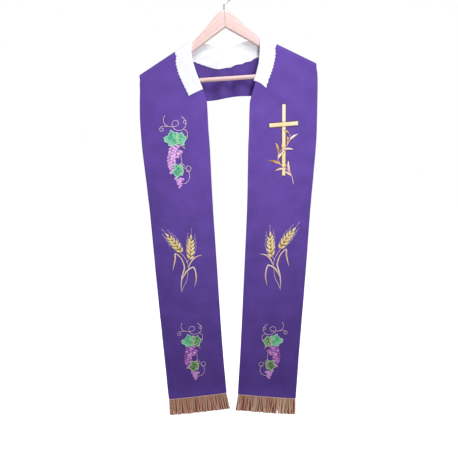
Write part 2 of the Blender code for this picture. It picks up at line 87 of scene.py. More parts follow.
def lengthAlong(points, axis=0):
    # running distance from the first point of each path
    steps = np.linalg.norm(np.diff(points, axis=axis), axis=-1)
    return np.insert(np.cumsum(steps, axis=axis), 0, 0.0, axis=axis)


def ripple(distance, length, phase=0.0):
    return np.sin(2 * math.pi * distance / length + phase)


def bell(offset, reach):
    # exp(-(offset / reach)^2)
    return np.exp(-((offset / reach) ** 2))


def catmullRom(before, start, end, after, t):
    # a cubic in t from start to end, with the slope there taken from their neighbours
    straight = 2 * start + (end - before) * t
    bend = (2 * before - 5 * start + 4 * end - after) * t**2
    return 0.5 * (straight + bend + (3 * start - before - 3 * end + after) * t**3)


# The stole is one strip rolled over both arms of the hanger. In its flat plan "along" runs down an
# arm and "over" runs across the shoulder, negative in front. Stations number its sections from a
# hem (0) to the centre back; a place is -middleStation at the left hem and +middleStation at the
# right one. Across is 0 at the neck edge and 1 at the outer edge. Side is -1 on the left.
strip = {
    "thick": 0.0022,
    "width": 0.185,  # usual width, for creases and stitching
    "foldRadius": 0.0106,  # middle of the cloth, round the top of an arm
    "foldAxisDrop": 0.0932,
    "slope": math.radians(29.1),
    "lean": math.radians(2.8),
    "hookRadius": 0.018,
    "neckAlong": 0.111,
    "shoulderAlong": 0.2812,
    "neckTurn": (0.096, 0.1413),
    "frontCentre": 0.0096,  # the fronts' middle line, at the chest and at the hems
    "hemCentre": 0.0070,
    "hemCentreDrops": (0.55, 1.15),
    "plumbDrops": (0.19, 0.36),
    "hemLag": 0.0025,
    "neckSlip": {-1: 0.0048, 1: 0.0012},
    "seamSlip": 0.009,
    "settle": 0.030,
    "hangSettle": 0.060,
    "bow": 0.0030,
    "bowDrops": (0.26, 0.42),
    "backSag": 0.005,
    "backSagReach": 0.200,
    "backFlatDrops": (0.138, 0.165),
    "backFoldFade": (0.05, 0.90),
    "backLowWave": 0.005,
    "backWaveLength": 0.045,
    "backWaveReach": 0.090,
    "edgeWave": 0.0009,  # the long edges ripple this much, over two lengths
    "edgeWaveLengths": (0.117, 0.071),
    "stitchPull": 0.00011,  # the cloth puckers this much beside embroidery
    "stitchPullLength": 0.013,
    "stitchPullReach": 0.014,
    "ridgeReach": 1.1,  # places on each side of a shoulder's top that get closer rows
}
frontSections = [
    # innerOut, innerDrop, outerOut, outerDrop, hem first
    (0.0178, 1.180, 0.1906, 1.197),
    (0.0273, 1.045, 0.2005, 1.062),
    (0.0360, 0.891, 0.2125, 0.909),
    (0.0440, 0.741, 0.2236, 0.759),
    (0.0515, 0.594, 0.2340, 0.613),
    (0.0560, 0.449, 0.2470, 0.470),
    (0.0591, 0.392, 0.2510, 0.415),
    (0.0610, 0.335, 0.2528, 0.362),
    (0.0634, 0.307, 0.2530, 0.339),
    (0.0795, 0.256, 0.2530, 0.301),
    (0.0913, 0.212, 0.2528, 0.272),
    (0.0975, 0.170, 0.2524, 0.247),
]
backSections = [
    # neckOut, neckDrop, lowOut, lowDrop, from behind the shoulder to the middle
    (0.0900, 0.1423, 0.2459, 0.2329),
    (0.0820, 0.1436, 0.2420, 0.2530),
    (0.0700, 0.1455, 0.2290, 0.2750),
    (0.0560, 0.1485, 0.2000, 0.2910),
    (0.0420, 0.1520, 0.1520, 0.3000),
    (0.0280, 0.1550, 0.1000, 0.3025),
    (0.0140, 0.1578, 0.0500, 0.3015),
    (0.0000, 0.1587, 0.0000, 0.2990),
]
backFolds = [
    # place to the right, half width, depth away from the viewer
    (-0.052, 0.016, 0.006),
    (-0.020, 0.013, -0.005),
    (0.004, 0.010, 0.005),
    (0.034, 0.016, -0.006),
    (0.070, 0.016, 0.007),
    (-0.120, 0.030, 0.003),
    (0.130, 0.030, 0.003),
]
frontCreases = {
    # across, drop, half length, half width, tilt in degrees, height; three broad folds come first
    -1: [
        (0.30, 0.36, 0.0555, 0.050, 0, 0.0020),
        (0.20, 0.62, 0.04625, 0.160, 0, -0.0025),
        (0.75, 0.98, 0.06475, 0.200, 0, 0.0030),
        (0.55, 0.345, 0.060, 0.012, 62, 0.0008),
        (0.18, 0.400, 0.070, 0.014, 84, -0.0010),
        (0.70, 0.575, 0.085, 0.017, 78, 0.0009),
        (0.35, 0.655, 0.060, 0.013, 15, -0.0008),
        (0.80, 0.690, 0.045, 0.012, -24, 0.0009),
        (0.25, 0.905, 0.075, 0.016, 8, 0.0009),
        (0.62, 0.945, 0.095, 0.019, 82, -0.0010),
        (0.40, 1.115, 0.060, 0.018, -12, 0.0008),
    ],
    1: [
        (0.65, 0.40, 0.04625, 0.100, 0, -0.0020),
        (0.25, 0.74, 0.0555, 0.180, 0, 0.0030),
        (0.70, 1.06, 0.06475, 0.140, 0, -0.0025),
        (0.60, 0.330, 0.050, 0.012, -58, 0.0008),
        (0.85, 0.470, 0.090, 0.013, 88, -0.0008),
        (0.30, 0.600, 0.070, 0.015, -14, 0.0009),
        (0.72, 0.640, 0.060, 0.013, 20, -0.0008),
        (0.12, 0.765, 0.032, 0.011, -8, 0.0014),
        (0.55, 0.905, 0.085, 0.018, -10, -0.0009),
        (0.20, 0.950, 0.080, 0.016, 80, 0.0010),
        (0.65, 1.125, 0.065, 0.017, 10, 0.0008),
    ],
}
backCreases = {
    -1: [(0.55, 0.255, 0.045, 0.010, 40, 0.0009), (0.30, 0.225, 0.040, 0.009, 62, -0.0007)],
    1: [(0.60, 0.250, 0.050, 0.010, -44, 0.0009), (0.32, 0.215, 0.036, 0.009, -66, -0.0007)],
}
stitchedPlaces = {
    # drop, half height, across, half width
    -1: [(0.453, 0.105, 0.50, 0.040), (0.765, 0.095, 0.50, 0.050), (1.046, 0.085, 0.50, 0.038)],
    1: [(0.424, 0.100, 0.56, 0.030), (0.765, 0.095, 0.50, 0.050), (1.048, 0.085, 0.56, 0.038)],
}


def toPlan(out, drop, face):
    # the strip's flat (along, over) of a point in front of the fold (face -1) or behind it (1)
    cosine, sine = math.cos(strip["slope"]), math.sin(strip["slope"])
    below = (drop - strip["foldAxisDrop"]) * cosine - out * sine
    along = out * cosine + (drop - strip["foldAxisDrop"]) * sine
    if below >= 0:
        return along, face * (quarterTurn + below)
    return along, face * strip["foldRadius"] * math.acos(min(1.0, -below / strip["foldRadius"]))


def planRows():
    # key sections of half the strip: inner along, inner over, outer along, outer over
    rows = [(*toPlan(a, b, -1), *toPlan(c, d, -1)) for a, b, c, d in frontSections]
    corner = strip["shoulderAlong"] + strip["foldRadius"] * math.tan(strip["slope"])
    rows.append((strip["neckAlong"], -quarterTurn, corner, -quarterTurn))
    rows.append((strip["neckAlong"], 0.0, strip["shoulderAlong"], 0.0))
    rows.append((*toPlan(*strip["neckTurn"], 1), strip["shoulderAlong"], quarterTurn / 2))
    rows += [(*toPlan(a, b, 1), *toPlan(c, d, 1)) for a, b, c, d in backSections]
    neckOut, neckDrop, lowOut, lowDrop = backSections[-2]
    rows.append((*toPlan(-neckOut, neckDrop, 1), *toPlan(-lowOut, lowDrop, 1)))
    rows.insert(0, tuple(2 * np.array(rows[0]) - np.array(rows[1])))
    return np.array(rows)


quarterTurn = strip["foldRadius"] * math.pi / 2
planTable = planRows()
middleStation = len(frontSections) + 2 + len(backSections)
ridgePlace = 1 + len(backSections)  # the shoulder's top, counted from the centre back


def section(station):
    # the plan between two key sections
    index = np.clip(np.floor(station).astype(int), 0, middleStation - 1)
    return catmullRom(*(planTable[index + step] for step in range(4)), (station - index)[:, None])


def lean(x, z):
    # the hanger's own x and z turned about the middle of the hook's curve
    cosine, sine = math.cos(strip["lean"]), math.sin(strip["lean"])
    z = z + strip["hookRadius"]
    return x * cosine - z * sine, x * sine + z * cosine - strip["hookRadius"]


def humps(creases, u, v, uScale=1.0):
    # each crease is its height times two bells, of a along its tilt and of b across it
    total = 0.0
    for atU, atV, length, width, tilt, height in creases:
        cosine, sine = unit(tilt)
        right = (u - atU) * uScale
        a = right * cosine + (v - atV) * sine
        b = (v - atV) * cosine - right * sine
        total = total + height * bell(a, length) * bell(b, width)
    return total


def frontRelief(side, drop, across):
    # bow of the panel, its folds and creases, rippled edges and the pull of the stitching
    fromMiddle = 2 * across - 1
    hanging = smoothStep(drop, *strip["bowDrops"])
    height = strip["bow"] * (1 - fromMiddle**2) * hanging
    height = height + humps(frontCreases[side], across, drop, strip["width"])
    long, short = strip["edgeWaveLengths"]
    wave = ripple(drop, long, side + 3 * across) + 0.6 * ripple(drop, short, 2 * side - 4 * across)
    height = height + strip["edgeWave"] * wave * np.abs(fromMiddle) ** 3 * hanging
    for centre, halfHeight, middle, halfWidth in stitchedPlaces[side]:
        beside = (np.abs(across - middle) * strip["width"] - halfWidth) / strip["stitchPullReach"]
        window = np.exp(-(beside**2) - ((drop - centre) / halfHeight) ** 4)
        pucker = ripple(drop, strip["stitchPullLength"], 5 * beside)
        height = height + strip["stitchPull"] * window * pucker
    return height


def backRelief(side, out, drop, across):
    # the sag of the back, its upright folds and its creases
    place = side * out
    reach = np.clip(place / strip["backSagReach"], -1, 1)
    height = strip["backSag"] * np.cos(reach * math.pi / 2)
    fade = smoothStep(across, *strip["backFoldFade"])
    for centre, halfWidth, depth in backFolds:
        height = height + depth * fade * bell(place - centre, halfWidth)
    height = height + humps(backCreases[side], across, drop, strip["width"])
    return height * smoothStep(drop, *strip["backFlatDrops"])


def pastTurn(over, length):
    # from 0 where the cloth leaves the arm's round top to 1 a length further on
    return smoothStep(over, quarterTurn, quarterTurn + length)


def stripPoints(places, across):
    # the flat plan rolled round the arm: a quarter circle each way, then straight down, with the
    # relief added along Y; below the chest the fronts leave the hanger's lean and hang plumb
    shape = np.shape(places)
    places = np.ravel(places)
    across = np.ravel(across)
    side = np.where(places < 0, -1.0, 1.0)
    row = section(middleStation - np.abs(places))
    along = row[:, 0] + (row[:, 2] - row[:, 0]) * across
    over = row[:, 1] + (row[:, 3] - row[:, 1]) * across
    turned = np.clip(over / strip["foldRadius"], -math.pi / 2, math.pi / 2)
    below = np.maximum(np.abs(over) - quarterTurn, 0.0) - strip["foldRadius"] * np.cos(turned)
    depth = strip["foldRadius"] * np.sin(turned)
    cosine, sine = math.cos(strip["slope"]), math.sin(strip["slope"])
    out = along * cosine - below * sine
    drop = along * sine + below * cosine + strip["foldAxisDrop"]
    settle = pastTurn(np.abs(over), strip["settle"])
    for which in (-1, 1):
        front = (side == which) & (over < 0)
        back = (side == which) & (over >= 0)
        depth[front] -= settle[front] * frontRelief(which, drop[front], across[front])
        depth[back] += settle[back] * backRelief(which, out[back], drop[back], across[back])
    dip = strip["backLowWave"] * across * np.sin(side * out / strip["backWaveLength"])
    dip = dip * bell(out, strip["backWaveReach"]) * pastTurn(over, strip["settle"])
    x, z = lean(side * out, -(drop - dip))
    plumb = smoothStep(drop, *strip["plumbDrops"]) * pastTurn(-over, strip["hangSettle"])
    drift = strip["hemCentre"] - strip["frontCentre"]
    drift = drift * smoothStep(drop, *strip["hemCentreDrops"])
    x = x + (strip["frontCentre"] + drift + side * out - x) * plumb
    slip = np.where(side < 0, strip["neckSlip"][-1], strip["neckSlip"][1])
    slip = slip * smoothStep(-over, 0, quarterTurn + strip["settle"])
    x = x - slip * (1 - across) * (1 - plumb)
    z = z + (-drop - side * strip["hemLag"] - z) * plumb
    return np.stack([x, depth, z], axis=1).reshape(*shape, 3)


tinyStep = 1e-3  # in places or across, for slopes


def clothFrame(places, across):
    # points of the cloth's middle, unit normals away from the hanger, unit directions across
    places, across = np.broadcast_arrays(np.asarray(places, float), np.asarray(across, float))
    sideways = stripPoints(places, across + tinyStep) - stripPoints(places, across - tinyStep)
    onwards = stripPoints(places + tinyStep, across) - stripPoints(places - tinyStep, across)
    normal = np.cross(onwards, sideways)
    return stripPoints(places, across), normalised(normal), normalised(sideways)


def stripWidth(places):
    # length of the rail across the strip at each place
    steps = np.linspace(0, 1, 9)
    rails = stripPoints(*np.broadcast_arrays(np.asarray(places, float)[:, None], steps))
    return lengthAlong(rails, 1)[:, -1]


def middleLine(places):
    return stripPoints(places, np.full(places.shape, 0.5))


def evenPlaces(start, end, rows, ridgeDetail=2.5):
    # equal steps along the strip, closer together over the turn of the shoulder
    tries = np.linspace(start, end, 3001)
    nearRidge = bell(np.abs(tries[1:]) - ridgePlace, strip["ridgeReach"])
    cost = np.diff(lengthAlong(middleLine(tries))) * (1 + ridgeDetail * nearRidge)
    cost = np.concatenate([[0], np.cumsum(cost)])
    return np.interp(np.linspace(0, cost[-1], rows), cost, tries)


def placesPerMetre(place):
    # how fast places pass along the strip's middle
    ends = middleLine(np.array([place - tinyStep, place + tinyStep]))
    return 2 * tinyStep / np.linalg.norm(ends[1] - ends[0])


def seamPlace():
    # where the back's middle is seamSlip to the right of the hanger's centre
    tries = np.linspace(0, 2, 401)
    x = middleLine(tries)[:, 0]
    return float(tries[np.argmin(np.abs(x - x[0] - strip["seamSlip"]))])


def onFront(side, x, z):
    # the place and share across under a point seen from the front, by Newton's method
    rail = side * np.linspace(ridgePlace + 1.5, middleStation + 0.2, 200)
    inner = stripPoints(rail, np.zeros(200))
    outer = stripPoints(rail, np.ones(200))
    place = np.interp(-z, -(inner[:, 2] + outer[:, 2]) / 2, rail)
    left = np.interp(np.abs(place), np.abs(rail), inner[:, 0])
    right = np.interp(np.abs(place), np.abs(rail), outer[:, 0])
    across = (x - left) / (right - left)
    for _ in range(5):
        here = stripPoints(place, across)
        byPlace = (stripPoints(place + tinyStep, across) - here) / tinyStep
        byAcross = (stripPoints(place, across + tinyStep) - here) / tinyStep
        missX = x - here[..., 0]
        missZ = z - here[..., 2]
        area = byPlace[..., 0] * byAcross[..., 2] - byPlace[..., 2] * byAcross[..., 0]
        place = place + (missX * byAcross[..., 2] - missZ * byAcross[..., 0]) / area
        across = across + (byPlace[..., 0] * missZ - byPlace[..., 2] * missX) / area
    return place, across


# Every piece is made of blocks. A block is a tube: rings of points, an extra column of UV where
# each ring closes, and a colour for each point. Rings that shrink to a point close its ends.


def wrapped(values):
    # the first column again after the last
    return np.concatenate([values, values[:, :1]], axis=1)


def ringUv(rings):
    # distance round each ring, and distance along the tube's middle
    around = lengthAlong(wrapped(rings), 1)
    along = lengthAlong(rings.mean(axis=1))[:, None]
    return np.stack([around, np.broadcast_to(along, around.shape)], axis=-1)


def block(rings, tint=(1.0, 1.0, 1.0), uv=None):
    rings = np.asarray(rings, float)
    return {
        "rings": rings,
        "uv": ringUv(rings) if uv is None else uv,
        "tint": np.broadcast_to(np.asarray(tint, float), rings.shape),
    }


def cornersOf(values):
    # the four corners of each quad, taken from values on the rings
    sides = [values[:-1, :-1], values[:-1, 1:], values[1:, 1:], values[1:, :-1]]
    return np.stack(sides, axis=2).reshape(-1, values.shape[-1])


def makePiece(name, blocks, finish, weld=2e-6):
    # all the blocks as one closed mesh: quads between rings, shrunk ends welded, faces outwards
    points, corners, start = [], [], 0
    for part in blocks:
        rows, around = part["rings"].shape[:2]
        index = start + np.arange(rows * around).reshape(rows, around, 1)
        points.append(part["rings"].reshape(-1, 3))
        corners.append(cornersOf(wrapped(index)).reshape(-1, 4))
        start += rows * around
    points = np.concatenate(points)
    corners = np.concatenate(corners)
    mesh = bpy.data.meshes.new(name)
    mesh.vertices.add(len(points))
    mesh.vertices.foreach_set("co", points.ravel())
    mesh.loops.add(corners.size)
    mesh.loops.foreach_set("vertex_index", corners.ravel())
    mesh.polygons.add(len(corners))
    mesh.polygons.foreach_set("loop_start", np.arange(0, corners.size, 4))
    mesh.update(calc_edges=True)
    uv = np.concatenate([cornersOf(part["uv"]) for part in blocks])
    mesh.uv_layers.new(name="cloth").data.foreach_set("uv", uv.ravel())
    tint = np.concatenate([cornersOf(wrapped(part["tint"])) for part in blocks])
    tint = np.concatenate([tint, np.ones((len(tint), 1))], axis=1)
    colours = mesh.color_attributes.new("thread", "FLOAT_COLOR", "CORNER")
    colours.data.foreach_set("color", tint.ravel())
    shape = bmesh.new()
    shape.from_mesh(mesh)
    bmesh.ops.remove_doubles(shape, verts=shape.verts, dist=weld)
    bmesh.ops.recalc_face_normals(shape, faces=shape.faces)
    shape.to_mesh(mesh)
    shape.free()
    mesh.materials.append(finish)
    mesh.shade_smooth()
    made = addObject(name, mesh)
    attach(made, "root")
    return made


# Materials. Cloth and thread read the piece's own UV, in metres, and its "thread" colours, painted shade
# included.


def addNode(tree, kind, sockets, **settings):
    made = tree.nodes.new(kind)
    made.location = (-240 * len(tree.nodes), 0)
    for key, value in settings.items():
        setattr(made, key, value)
    for key, value in sockets.items():
        if isinstance(value, bpy.types.NodeSocket):
            tree.links.new(value, made.inputs[key])
        else:
            made.inputs[key].default_value = value
    return made


def newFinish(name, **sockets):
    made = bpy.data.materials.new(name)
    made.use_nodes = True
    shader = made.node_tree.nodes["Principled BSDF"]
    for key, value in sockets.items():
        shader.inputs[key.replace("_", " ")].default_value = value
    return made, made.node_tree, shader


def plug(node, **sources):
    for key, source in sources.items():
        node.id_data.links.new(source, node.inputs[key.replace("_", " ")])


def uvOf(tree):
    return addNode(tree, "ShaderNodeUVMap", {}, uv_map="cloth").outputs["UV"]


def placeOf(tree):
    return addNode(tree, "ShaderNodeTexCoord", {}).outputs["Object"]


def threadOf(tree, output):
    return addNode(tree, "ShaderNodeAttribute", {}, attribute_name="thread").outputs[output]


def noiseOf(tree, vector, scale, detail=2.0, roughness=0.5):
    sockets = {"Vector": vector, "Scale": scale, "Detail": detail, "Roughness": roughness}
    return addNode(tree, "ShaderNodeTexNoise", sockets).outputs["Fac"]


def streaksOf(tree, uv, around, along, detail=2.0, roughness=0.5):
    # noise with so many spots to a metre each way
    stretched = addNode(tree, "ShaderNodeMapping", {"Vector": uv, "Scale": (around, along, 1.0)})
    return noiseOf(tree, stretched.outputs["Vector"], 1.0, detail, roughness)


def rangeOf(tree, value, low, high, fromLow=0.0, fromHigh=1.0):
    sockets = {"Value": value, "From Min": fromLow, "From Max": fromHigh, "To Min": low, "To Max": high}
    return addNode(tree, "ShaderNodeMapRange", sockets).outputs["Result"]


def mathOf(tree, operation, first, *others):
    # the values joined in turn by one operation
    for value in others:
        first = addNode(tree, "ShaderNodeMath", {0: first, 1: value}, operation=operation).outputs[0]
    return first


def scaledColour(tree, colour, *factors):
    # the colour times some factors near one
    sockets = {0: colour, "Scale": mathOf(tree, "MULTIPLY", *factors)}
    return addNode(tree, "ShaderNodeVectorMath", sockets, operation="SCALE").outputs[0]


def waveOf(tree, vector, pitch, direction):
    # straight bands; Blender's wave has a length of pi / 10 at scale 1
    sockets = {"Vector": vector, "Scale": math.pi / 10 / pitch, "Distortion": 0.0}
    made = addNode(tree, "ShaderNodeTexWave", sockets, bands_direction=direction)
    return made.outputs["Fac"]


def weaveOf(tree, uv, yarn):
    # plain weave: warp bands times weft bands
    return mathOf(tree, "MULTIPLY", waveOf(tree, uv, yarn, "X"), waveOf(tree, uv, yarn, "Y"))


def bumpOf(tree, height, distance, strength=1.0, normal=None):
    sockets = {"Height": height, "Distance": distance, "Strength": strength}
    if normal is not None:
        sockets["Normal"] = normal
    return addNode(tree, "ShaderNodeBump", sockets).outputs["Normal"]


purple = {
    "colour": (0.133, 0.0685, 0.373),
    "yarn": 0.00052,  # pitch of warp and weft
    "yarnHeight": 0.00009,
    "slubHeight": 0.00006,
}


def purpleCloth():
    finish, tree, shader = newFinish(
        "purple cloth",
        Roughness=0.74,
        Specular_IOR_Level=0.18,
        Sheen_Weight=0.10,
        Sheen_Roughness=0.40,
        Sheen_Tint=(0.62, 0.45, 1.0, 1.0),
    )
    uv = uvOf(tree)
    mottle = rangeOf(tree, noiseOf(tree, placeOf(tree), 22.0, 3.0), 0.90, 1.10, 0.3, 0.7)
    slub = mathOf(tree, "ADD", streaksOf(tree, uv, 900.0, 14.0), streaksOf(tree, uv, 12.0, 800.0))
    streak = rangeOf(tree, slub, 0.94, 1.06, 0.6, 1.4)
    weave = weaveOf(tree, uv, purple["yarn"])
    # the "thread" factor darkens the stole's inner skin: painted shade
    factors = [mottle, streak, threadOf(tree, "Fac"), rangeOf(tree, weave, 0.90, 1.06)]
    fine = bumpOf(tree, weave, purple["yarnHeight"])
    bump = bumpOf(tree, slub, purple["slubHeight"], 1.0, fine)
    plug(shader, Base_Color=scaledColour(tree, purple["colour"], *factors), Normal=bump)
    return finish


cotton = {
    "colour": (0.865, 0.872, 0.905),
    "yarn": 0.00040,
    "yarnHeight": 0.00006,
    "crinkleHeight": 0.0005,
}


def whiteCotton():
    finish, tree, shader = newFinish(
        "white cotton", Roughness=0.86, Specular_IOR_Level=0.25, Sheen_Weight=0.12
    )
    place = placeOf(tree)
    weave = weaveOf(tree, uvOf(tree), cotton["yarn"])
    mottle = rangeOf(tree, noiseOf(tree, place, 60.0, 3.0), 0.96, 1.03, 0.3, 0.7)
    colour = scaledColour(tree, cotton["colour"], mottle, rangeOf(tree, weave, 0.97, 1.01))
    soft = bumpOf(tree, noiseOf(tree, place, 130.0, 3.0), cotton["crinkleHeight"], 0.6)
    plug(shader, Base_Color=colour, Normal=bumpOf(tree, weave, cotton["yarnHeight"], 1.0, soft))
    return finish


def threadFinish(name, roughness, pitch, height):
    # colour from the piece's own attribute; satin threads lie side by side along V
    finish, tree, shader = newFinish(
        name,
        Roughness=roughness,
        Specular_IOR_Level=0.9,
        Sheen_Weight=0.25,
        Sheen_Roughness=0.35,
    )
    uv = uvOf(tree)
    lines = waveOf(tree, uv, pitch, "Y")
    ply = rangeOf(tree, streaksOf(tree, uv, 180.0, 2400.0), 0.86, 1.12)
    colour = scaledColour(tree, threadOf(tree, "Color"), ply, rangeOf(tree, lines, 0.86, 1.05))
    plug(shader, Base_Color=colour, Normal=bumpOf(tree, lines, height))
    return finish


woods = {
    # dark and light of the grain
    "beech": ((0.77, 0.53, 0.48), (0.88, 0.69, 0.66)),
    "rosy beech": ((0.65, 0.41, 0.38), (0.77, 0.56, 0.53)),
}


def beechWood(name):
    # long grain with short dark flecks and broad paler bands
    finish, tree, shader = newFinish(name, Roughness=0.42, Specular_IOR_Level=0.45, Coat_Weight=0.15)
    uv = uvOf(tree)
    grain = streaksOf(tree, uv, 140.0, 5.0, 4.0, 0.6)
    flecks = rangeOf(tree, streaksOf(tree, uv, 700.0, 90.0), 0.90, 1.03, 0.35, 0.55)
    bands = rangeOf(tree, streaksOf(tree, uv, 30.0, 3.0), 0.94, 1.06, 0.3, 0.7)
    ramp = addNode(tree, "ShaderNodeValToRGB", {"Fac": grain})
    for stop, position, colour in zip(ramp.color_ramp.elements, (0.36, 0.66), woods[name]):
        stop.position, stop.color = position, (*colour, 1.0)
    colour = scaledColour(tree, ramp.outputs["Color"], flecks, bands)
    bump = bumpOf(tree, grain, 0.00012)
    plug(shader, Base_Color=colour, Roughness=rangeOf(tree, grain, 0.48, 0.36), Normal=bump)
    return finish


def brightSteel():
    finish, tree, shader = newFinish(
        "steel", Base_Color=(0.62, 0.62, 0.64, 1.0), Metallic=1.0, Roughness=0.26
    )
    drawn = streaksOf(tree, uvOf(tree), 900.0, 25.0, 3.0)
    plug(shader, Roughness=rangeOf(tree, drawn, 0.20, 0.38), Normal=bumpOf(tree, drawn, 0.00003))
    return finish


# The stole's two halves


stole = {
    "rows": 340,
    "columns": 46,
    "rim": 5,  # points round each edge
    "lip": (0.0, 0.1, 0.4, 1.0),  # extra rows at each end, in half thicknesses
    "insideShade": 0.76,  # painted shade: brightness given to the cloth's inner skin, towards the hanger
}


def withLips(places, half):
    # extra places close to both ends, and the share of the thickness there: a quarter circle
    near = np.array(stole["lip"])
    share = quarterRound(near)
    inwards = np.sign(places[-1] - places[0]) * near * half
    first = places[0] + inwards * placesPerMetre(places[0])
    last = places[-1] - inwards * placesPerMetre(places[-1])
    full = np.ones(len(places) - 2)
    return np.concatenate([first, places[1:-1], last[::-1]]), np.concatenate([share, full, share[::-1]])


def roundAngles(sides):
    return 2 * math.pi * np.arange(sides) / sides


def spokes(angles, first, second):
    # cos(angle) * first + sin(angle) * second, for each pair of directions
    return np.cos(angles)[:, None] * first[:, None] + np.sin(angles)[:, None] * second[:, None]


def arch(count, first, second):
    # inner points of the half circle that starts along the first direction and passes the second
    return spokes(np.linspace(0, math.pi, count + 2)[1:-1], first, second)


def tubeRings(path, up, sideways, radius, sides):
    # circles in the plane of up and sideways at each point of the path
    return path[:, None] + spokes(roundAngles(sides), sideways, up) * radius[:, None, None]


def shellRings(places, share, columns, half, rim):
    # outer skin, outer edge as a half circle, inner skin backwards, neck edge as a half circle
    middle, normal, sideways = clothFrame(places[:, None], columns[None, :])
    reach = (half * share)[:, None, None]
    skins = [
        middle + normal * reach,
        middle[:, -1:] + arch(rim, normal[:, -1], sideways[:, -1]) * reach,
        (middle - normal * reach)[:, ::-1],
        middle[:, :1] - arch(rim, normal[:, 0], sideways[:, 0]) * reach,
    ]
    return np.concatenate(skins, axis=1)


def addStoleHalf(name, start, end, finish, nodes):
    half = strip["thick"] / 2
    swing = np.cos(math.pi * np.linspace(0, 1, stole["columns"]))
    columns = 0.5 - 0.5 * swing * (0.75 + 0.25 * swing**2)  # closer together at both edges
    places, share = withLips(evenPlaces(start, end, stole["rows"]), half)
    rings = shellRings(places, share, columns, half, stole["rim"])
    # painted shade: the columns of the inner skin, towards the hanger, are darkened to read as lying in shade
    tint = np.ones((rings.shape[1], 3))
    inside = stole["columns"] + stole["rim"]
    tint[inside : inside + stole["columns"]] = stole["insideShade"]
    made = makePiece(name, [block(rings, tint)], finish)
    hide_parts(*nodes)
    return made


# The collar guard, folded over the neck edge


collar = {
    "thick": 0.0011,
    "lift": 0.0022,  # its middle above the middle of the stole's cloth
    "ends": {-1: 0.2762, 1: 0.2551},  # drop of each front end at the neck edge
    "endSkew": {-1: 0.17, 1: 0.22},  # how far down the outer corner of each end is, in places
    "endBow": {-1: 0.015, 1: 0.048},
    "neckReach": [(11.9, 0.0), (12.7, 0.0022), (13.05, 0.0044)],  # it stands off the right neck edge
    "outside": [
        # place, depth from the neck edge
        (-13.6, 0.0395), (-12.9, 0.0442), (-11.6, 0.0472), (-9.6, 0.0530), (-5.0, 0.0575), (0.0, 0.0590),
        (5.0, 0.0560), (8.8, 0.0485), (11.1, 0.0448), (11.8, 0.0405), (12.7, 0.0340), (13.3, 0.0275),
    ],
    "inside": [
        (-13.6, 0.0395), (-9.6, 0.0530), (-4.2, 0.0600), (-2.4, 0.0590), (-0.9, 0.0622), (-0.3, 0.0575),
        (1.0, 0.0520), (2.1, 0.0562), (4.2, 0.0570), (8.8, 0.0485), (11.8, 0.0405), (13.3, 0.0275),
    ],
    "soften": 25,  # rows in the running mean of the depth
    "endReach": 0.5,  # places over which an end's skew and bow begin
    "backPlaces": (5, 8),  # the inside layer lies on the back up to the first of these
    "backScallops": 0.25,  # depth of its scallops there, as a share
    "calmPlaces": (4, 5.5),  # its creases fade between these
    "calm": 0.2,
    "rows": 620,
    "columns": 14,
    "scallop": 0.0034,
    "scallopPitch": 0.0104,
    "insideWave": (0.0011, 0.0205),  # height and length of a wave in the right half of the inside
    "waveStart": (-1.0, 0.2),
    "edgeCord": 0.00062,
}
collarCreases = {
    # along from the middle of the back, down from the neck, half length, half width, tilt, height;
    # the inside layer, then the outside one
    -1: [
        (-0.050, 0.026, 0.022, 0.0060, -58, 0.0021),
        (-0.066, 0.030, 0.016, 0.0070, -50, 0.0009),
        (-0.016, 0.038, 0.013, 0.0060, -66, 0.0013),
        (-0.084, 0.047, 0.014, 0.0045, -12, 0.0008),
        (0.020, 0.026, 0.016, 0.0080, 80, 0.0008),
        (0.040, 0.028, 0.018, 0.0070, 48, 0.0014),
        (0.064, 0.020, 0.022, 0.0065, 22, 0.0015),
    ],
    1: [
        (-0.270, 0.024, 0.030, 0.0080, 76, 0.0007),
        (-0.215, 0.036, 0.022, 0.0070, -60, 0.0008),
        (-0.120, 0.034, 0.026, 0.0080, -40, 0.0012),
        (-0.040, 0.030, 0.022, 0.0090, 52, 0.0014),
        (0.035, 0.038, 0.020, 0.0080, -62, 0.0012),
        (0.110, 0.030, 0.028, 0.0080, 38, 0.0013),
        (0.210, 0.030, 0.022, 0.0075, 66, 0.0008),
        (0.262, 0.018, 0.026, 0.0070, -78, 0.0007),
    ],
}


def collarEnd(side):
    # the place where the neck edge has come down to the guard's end
    tries = np.linspace(ridgePlace, middleStation, 2001)
    drop = -stripPoints(side * tries, np.zeros(tries.shape))[:, 2]
    return float(tries[np.argmax(drop > collar["ends"][side])])


def neckReach(places):
    # how far beyond the neck edge the fold stands
    return np.interp(places, *np.transpose(collar["neckReach"]))


def scallops(distance, phase):
    # rounded bites between blunt points, each of its own length and depth
    wander = 0.8 * np.sin(distance / 0.037 + phase) + 0.5 * np.sin(distance / 0.0211 + 2 * phase)
    turns = math.pi * distance / collar["scallopPitch"] + wander
    size = 0.8 + 0.3 * np.sin(distance / 0.029 + 1.7 * phase)
    return collar["scallop"] * size * (np.abs(np.sin(turns)) ** 0.7 - 0.65)


def collarDepth(face, places, distance):
    # depth from the neck edge: its table softened by a running mean, and the edge's scallops
    depth = np.interp(places, *np.transpose(collar["outside" if face > 0 else "inside"]))
    count = collar["soften"]
    depth = np.convolve(np.pad(depth, count // 2, "edge"), np.full(count, 1 / count), "valid")
    if face > 0:
        return depth + scallops(distance, 0.4)
    onBack = 1 - smoothStep(np.abs(places), *collar["backPlaces"])
    height, length = collar["insideWave"]
    wave = height * ripple(distance, length) * smoothStep(places, *collar["waveStart"]) * onBack
    share = 1 - (1 - collar["backScallops"]) * onBack
    return depth + wave + scallops(distance, 2.3) * share


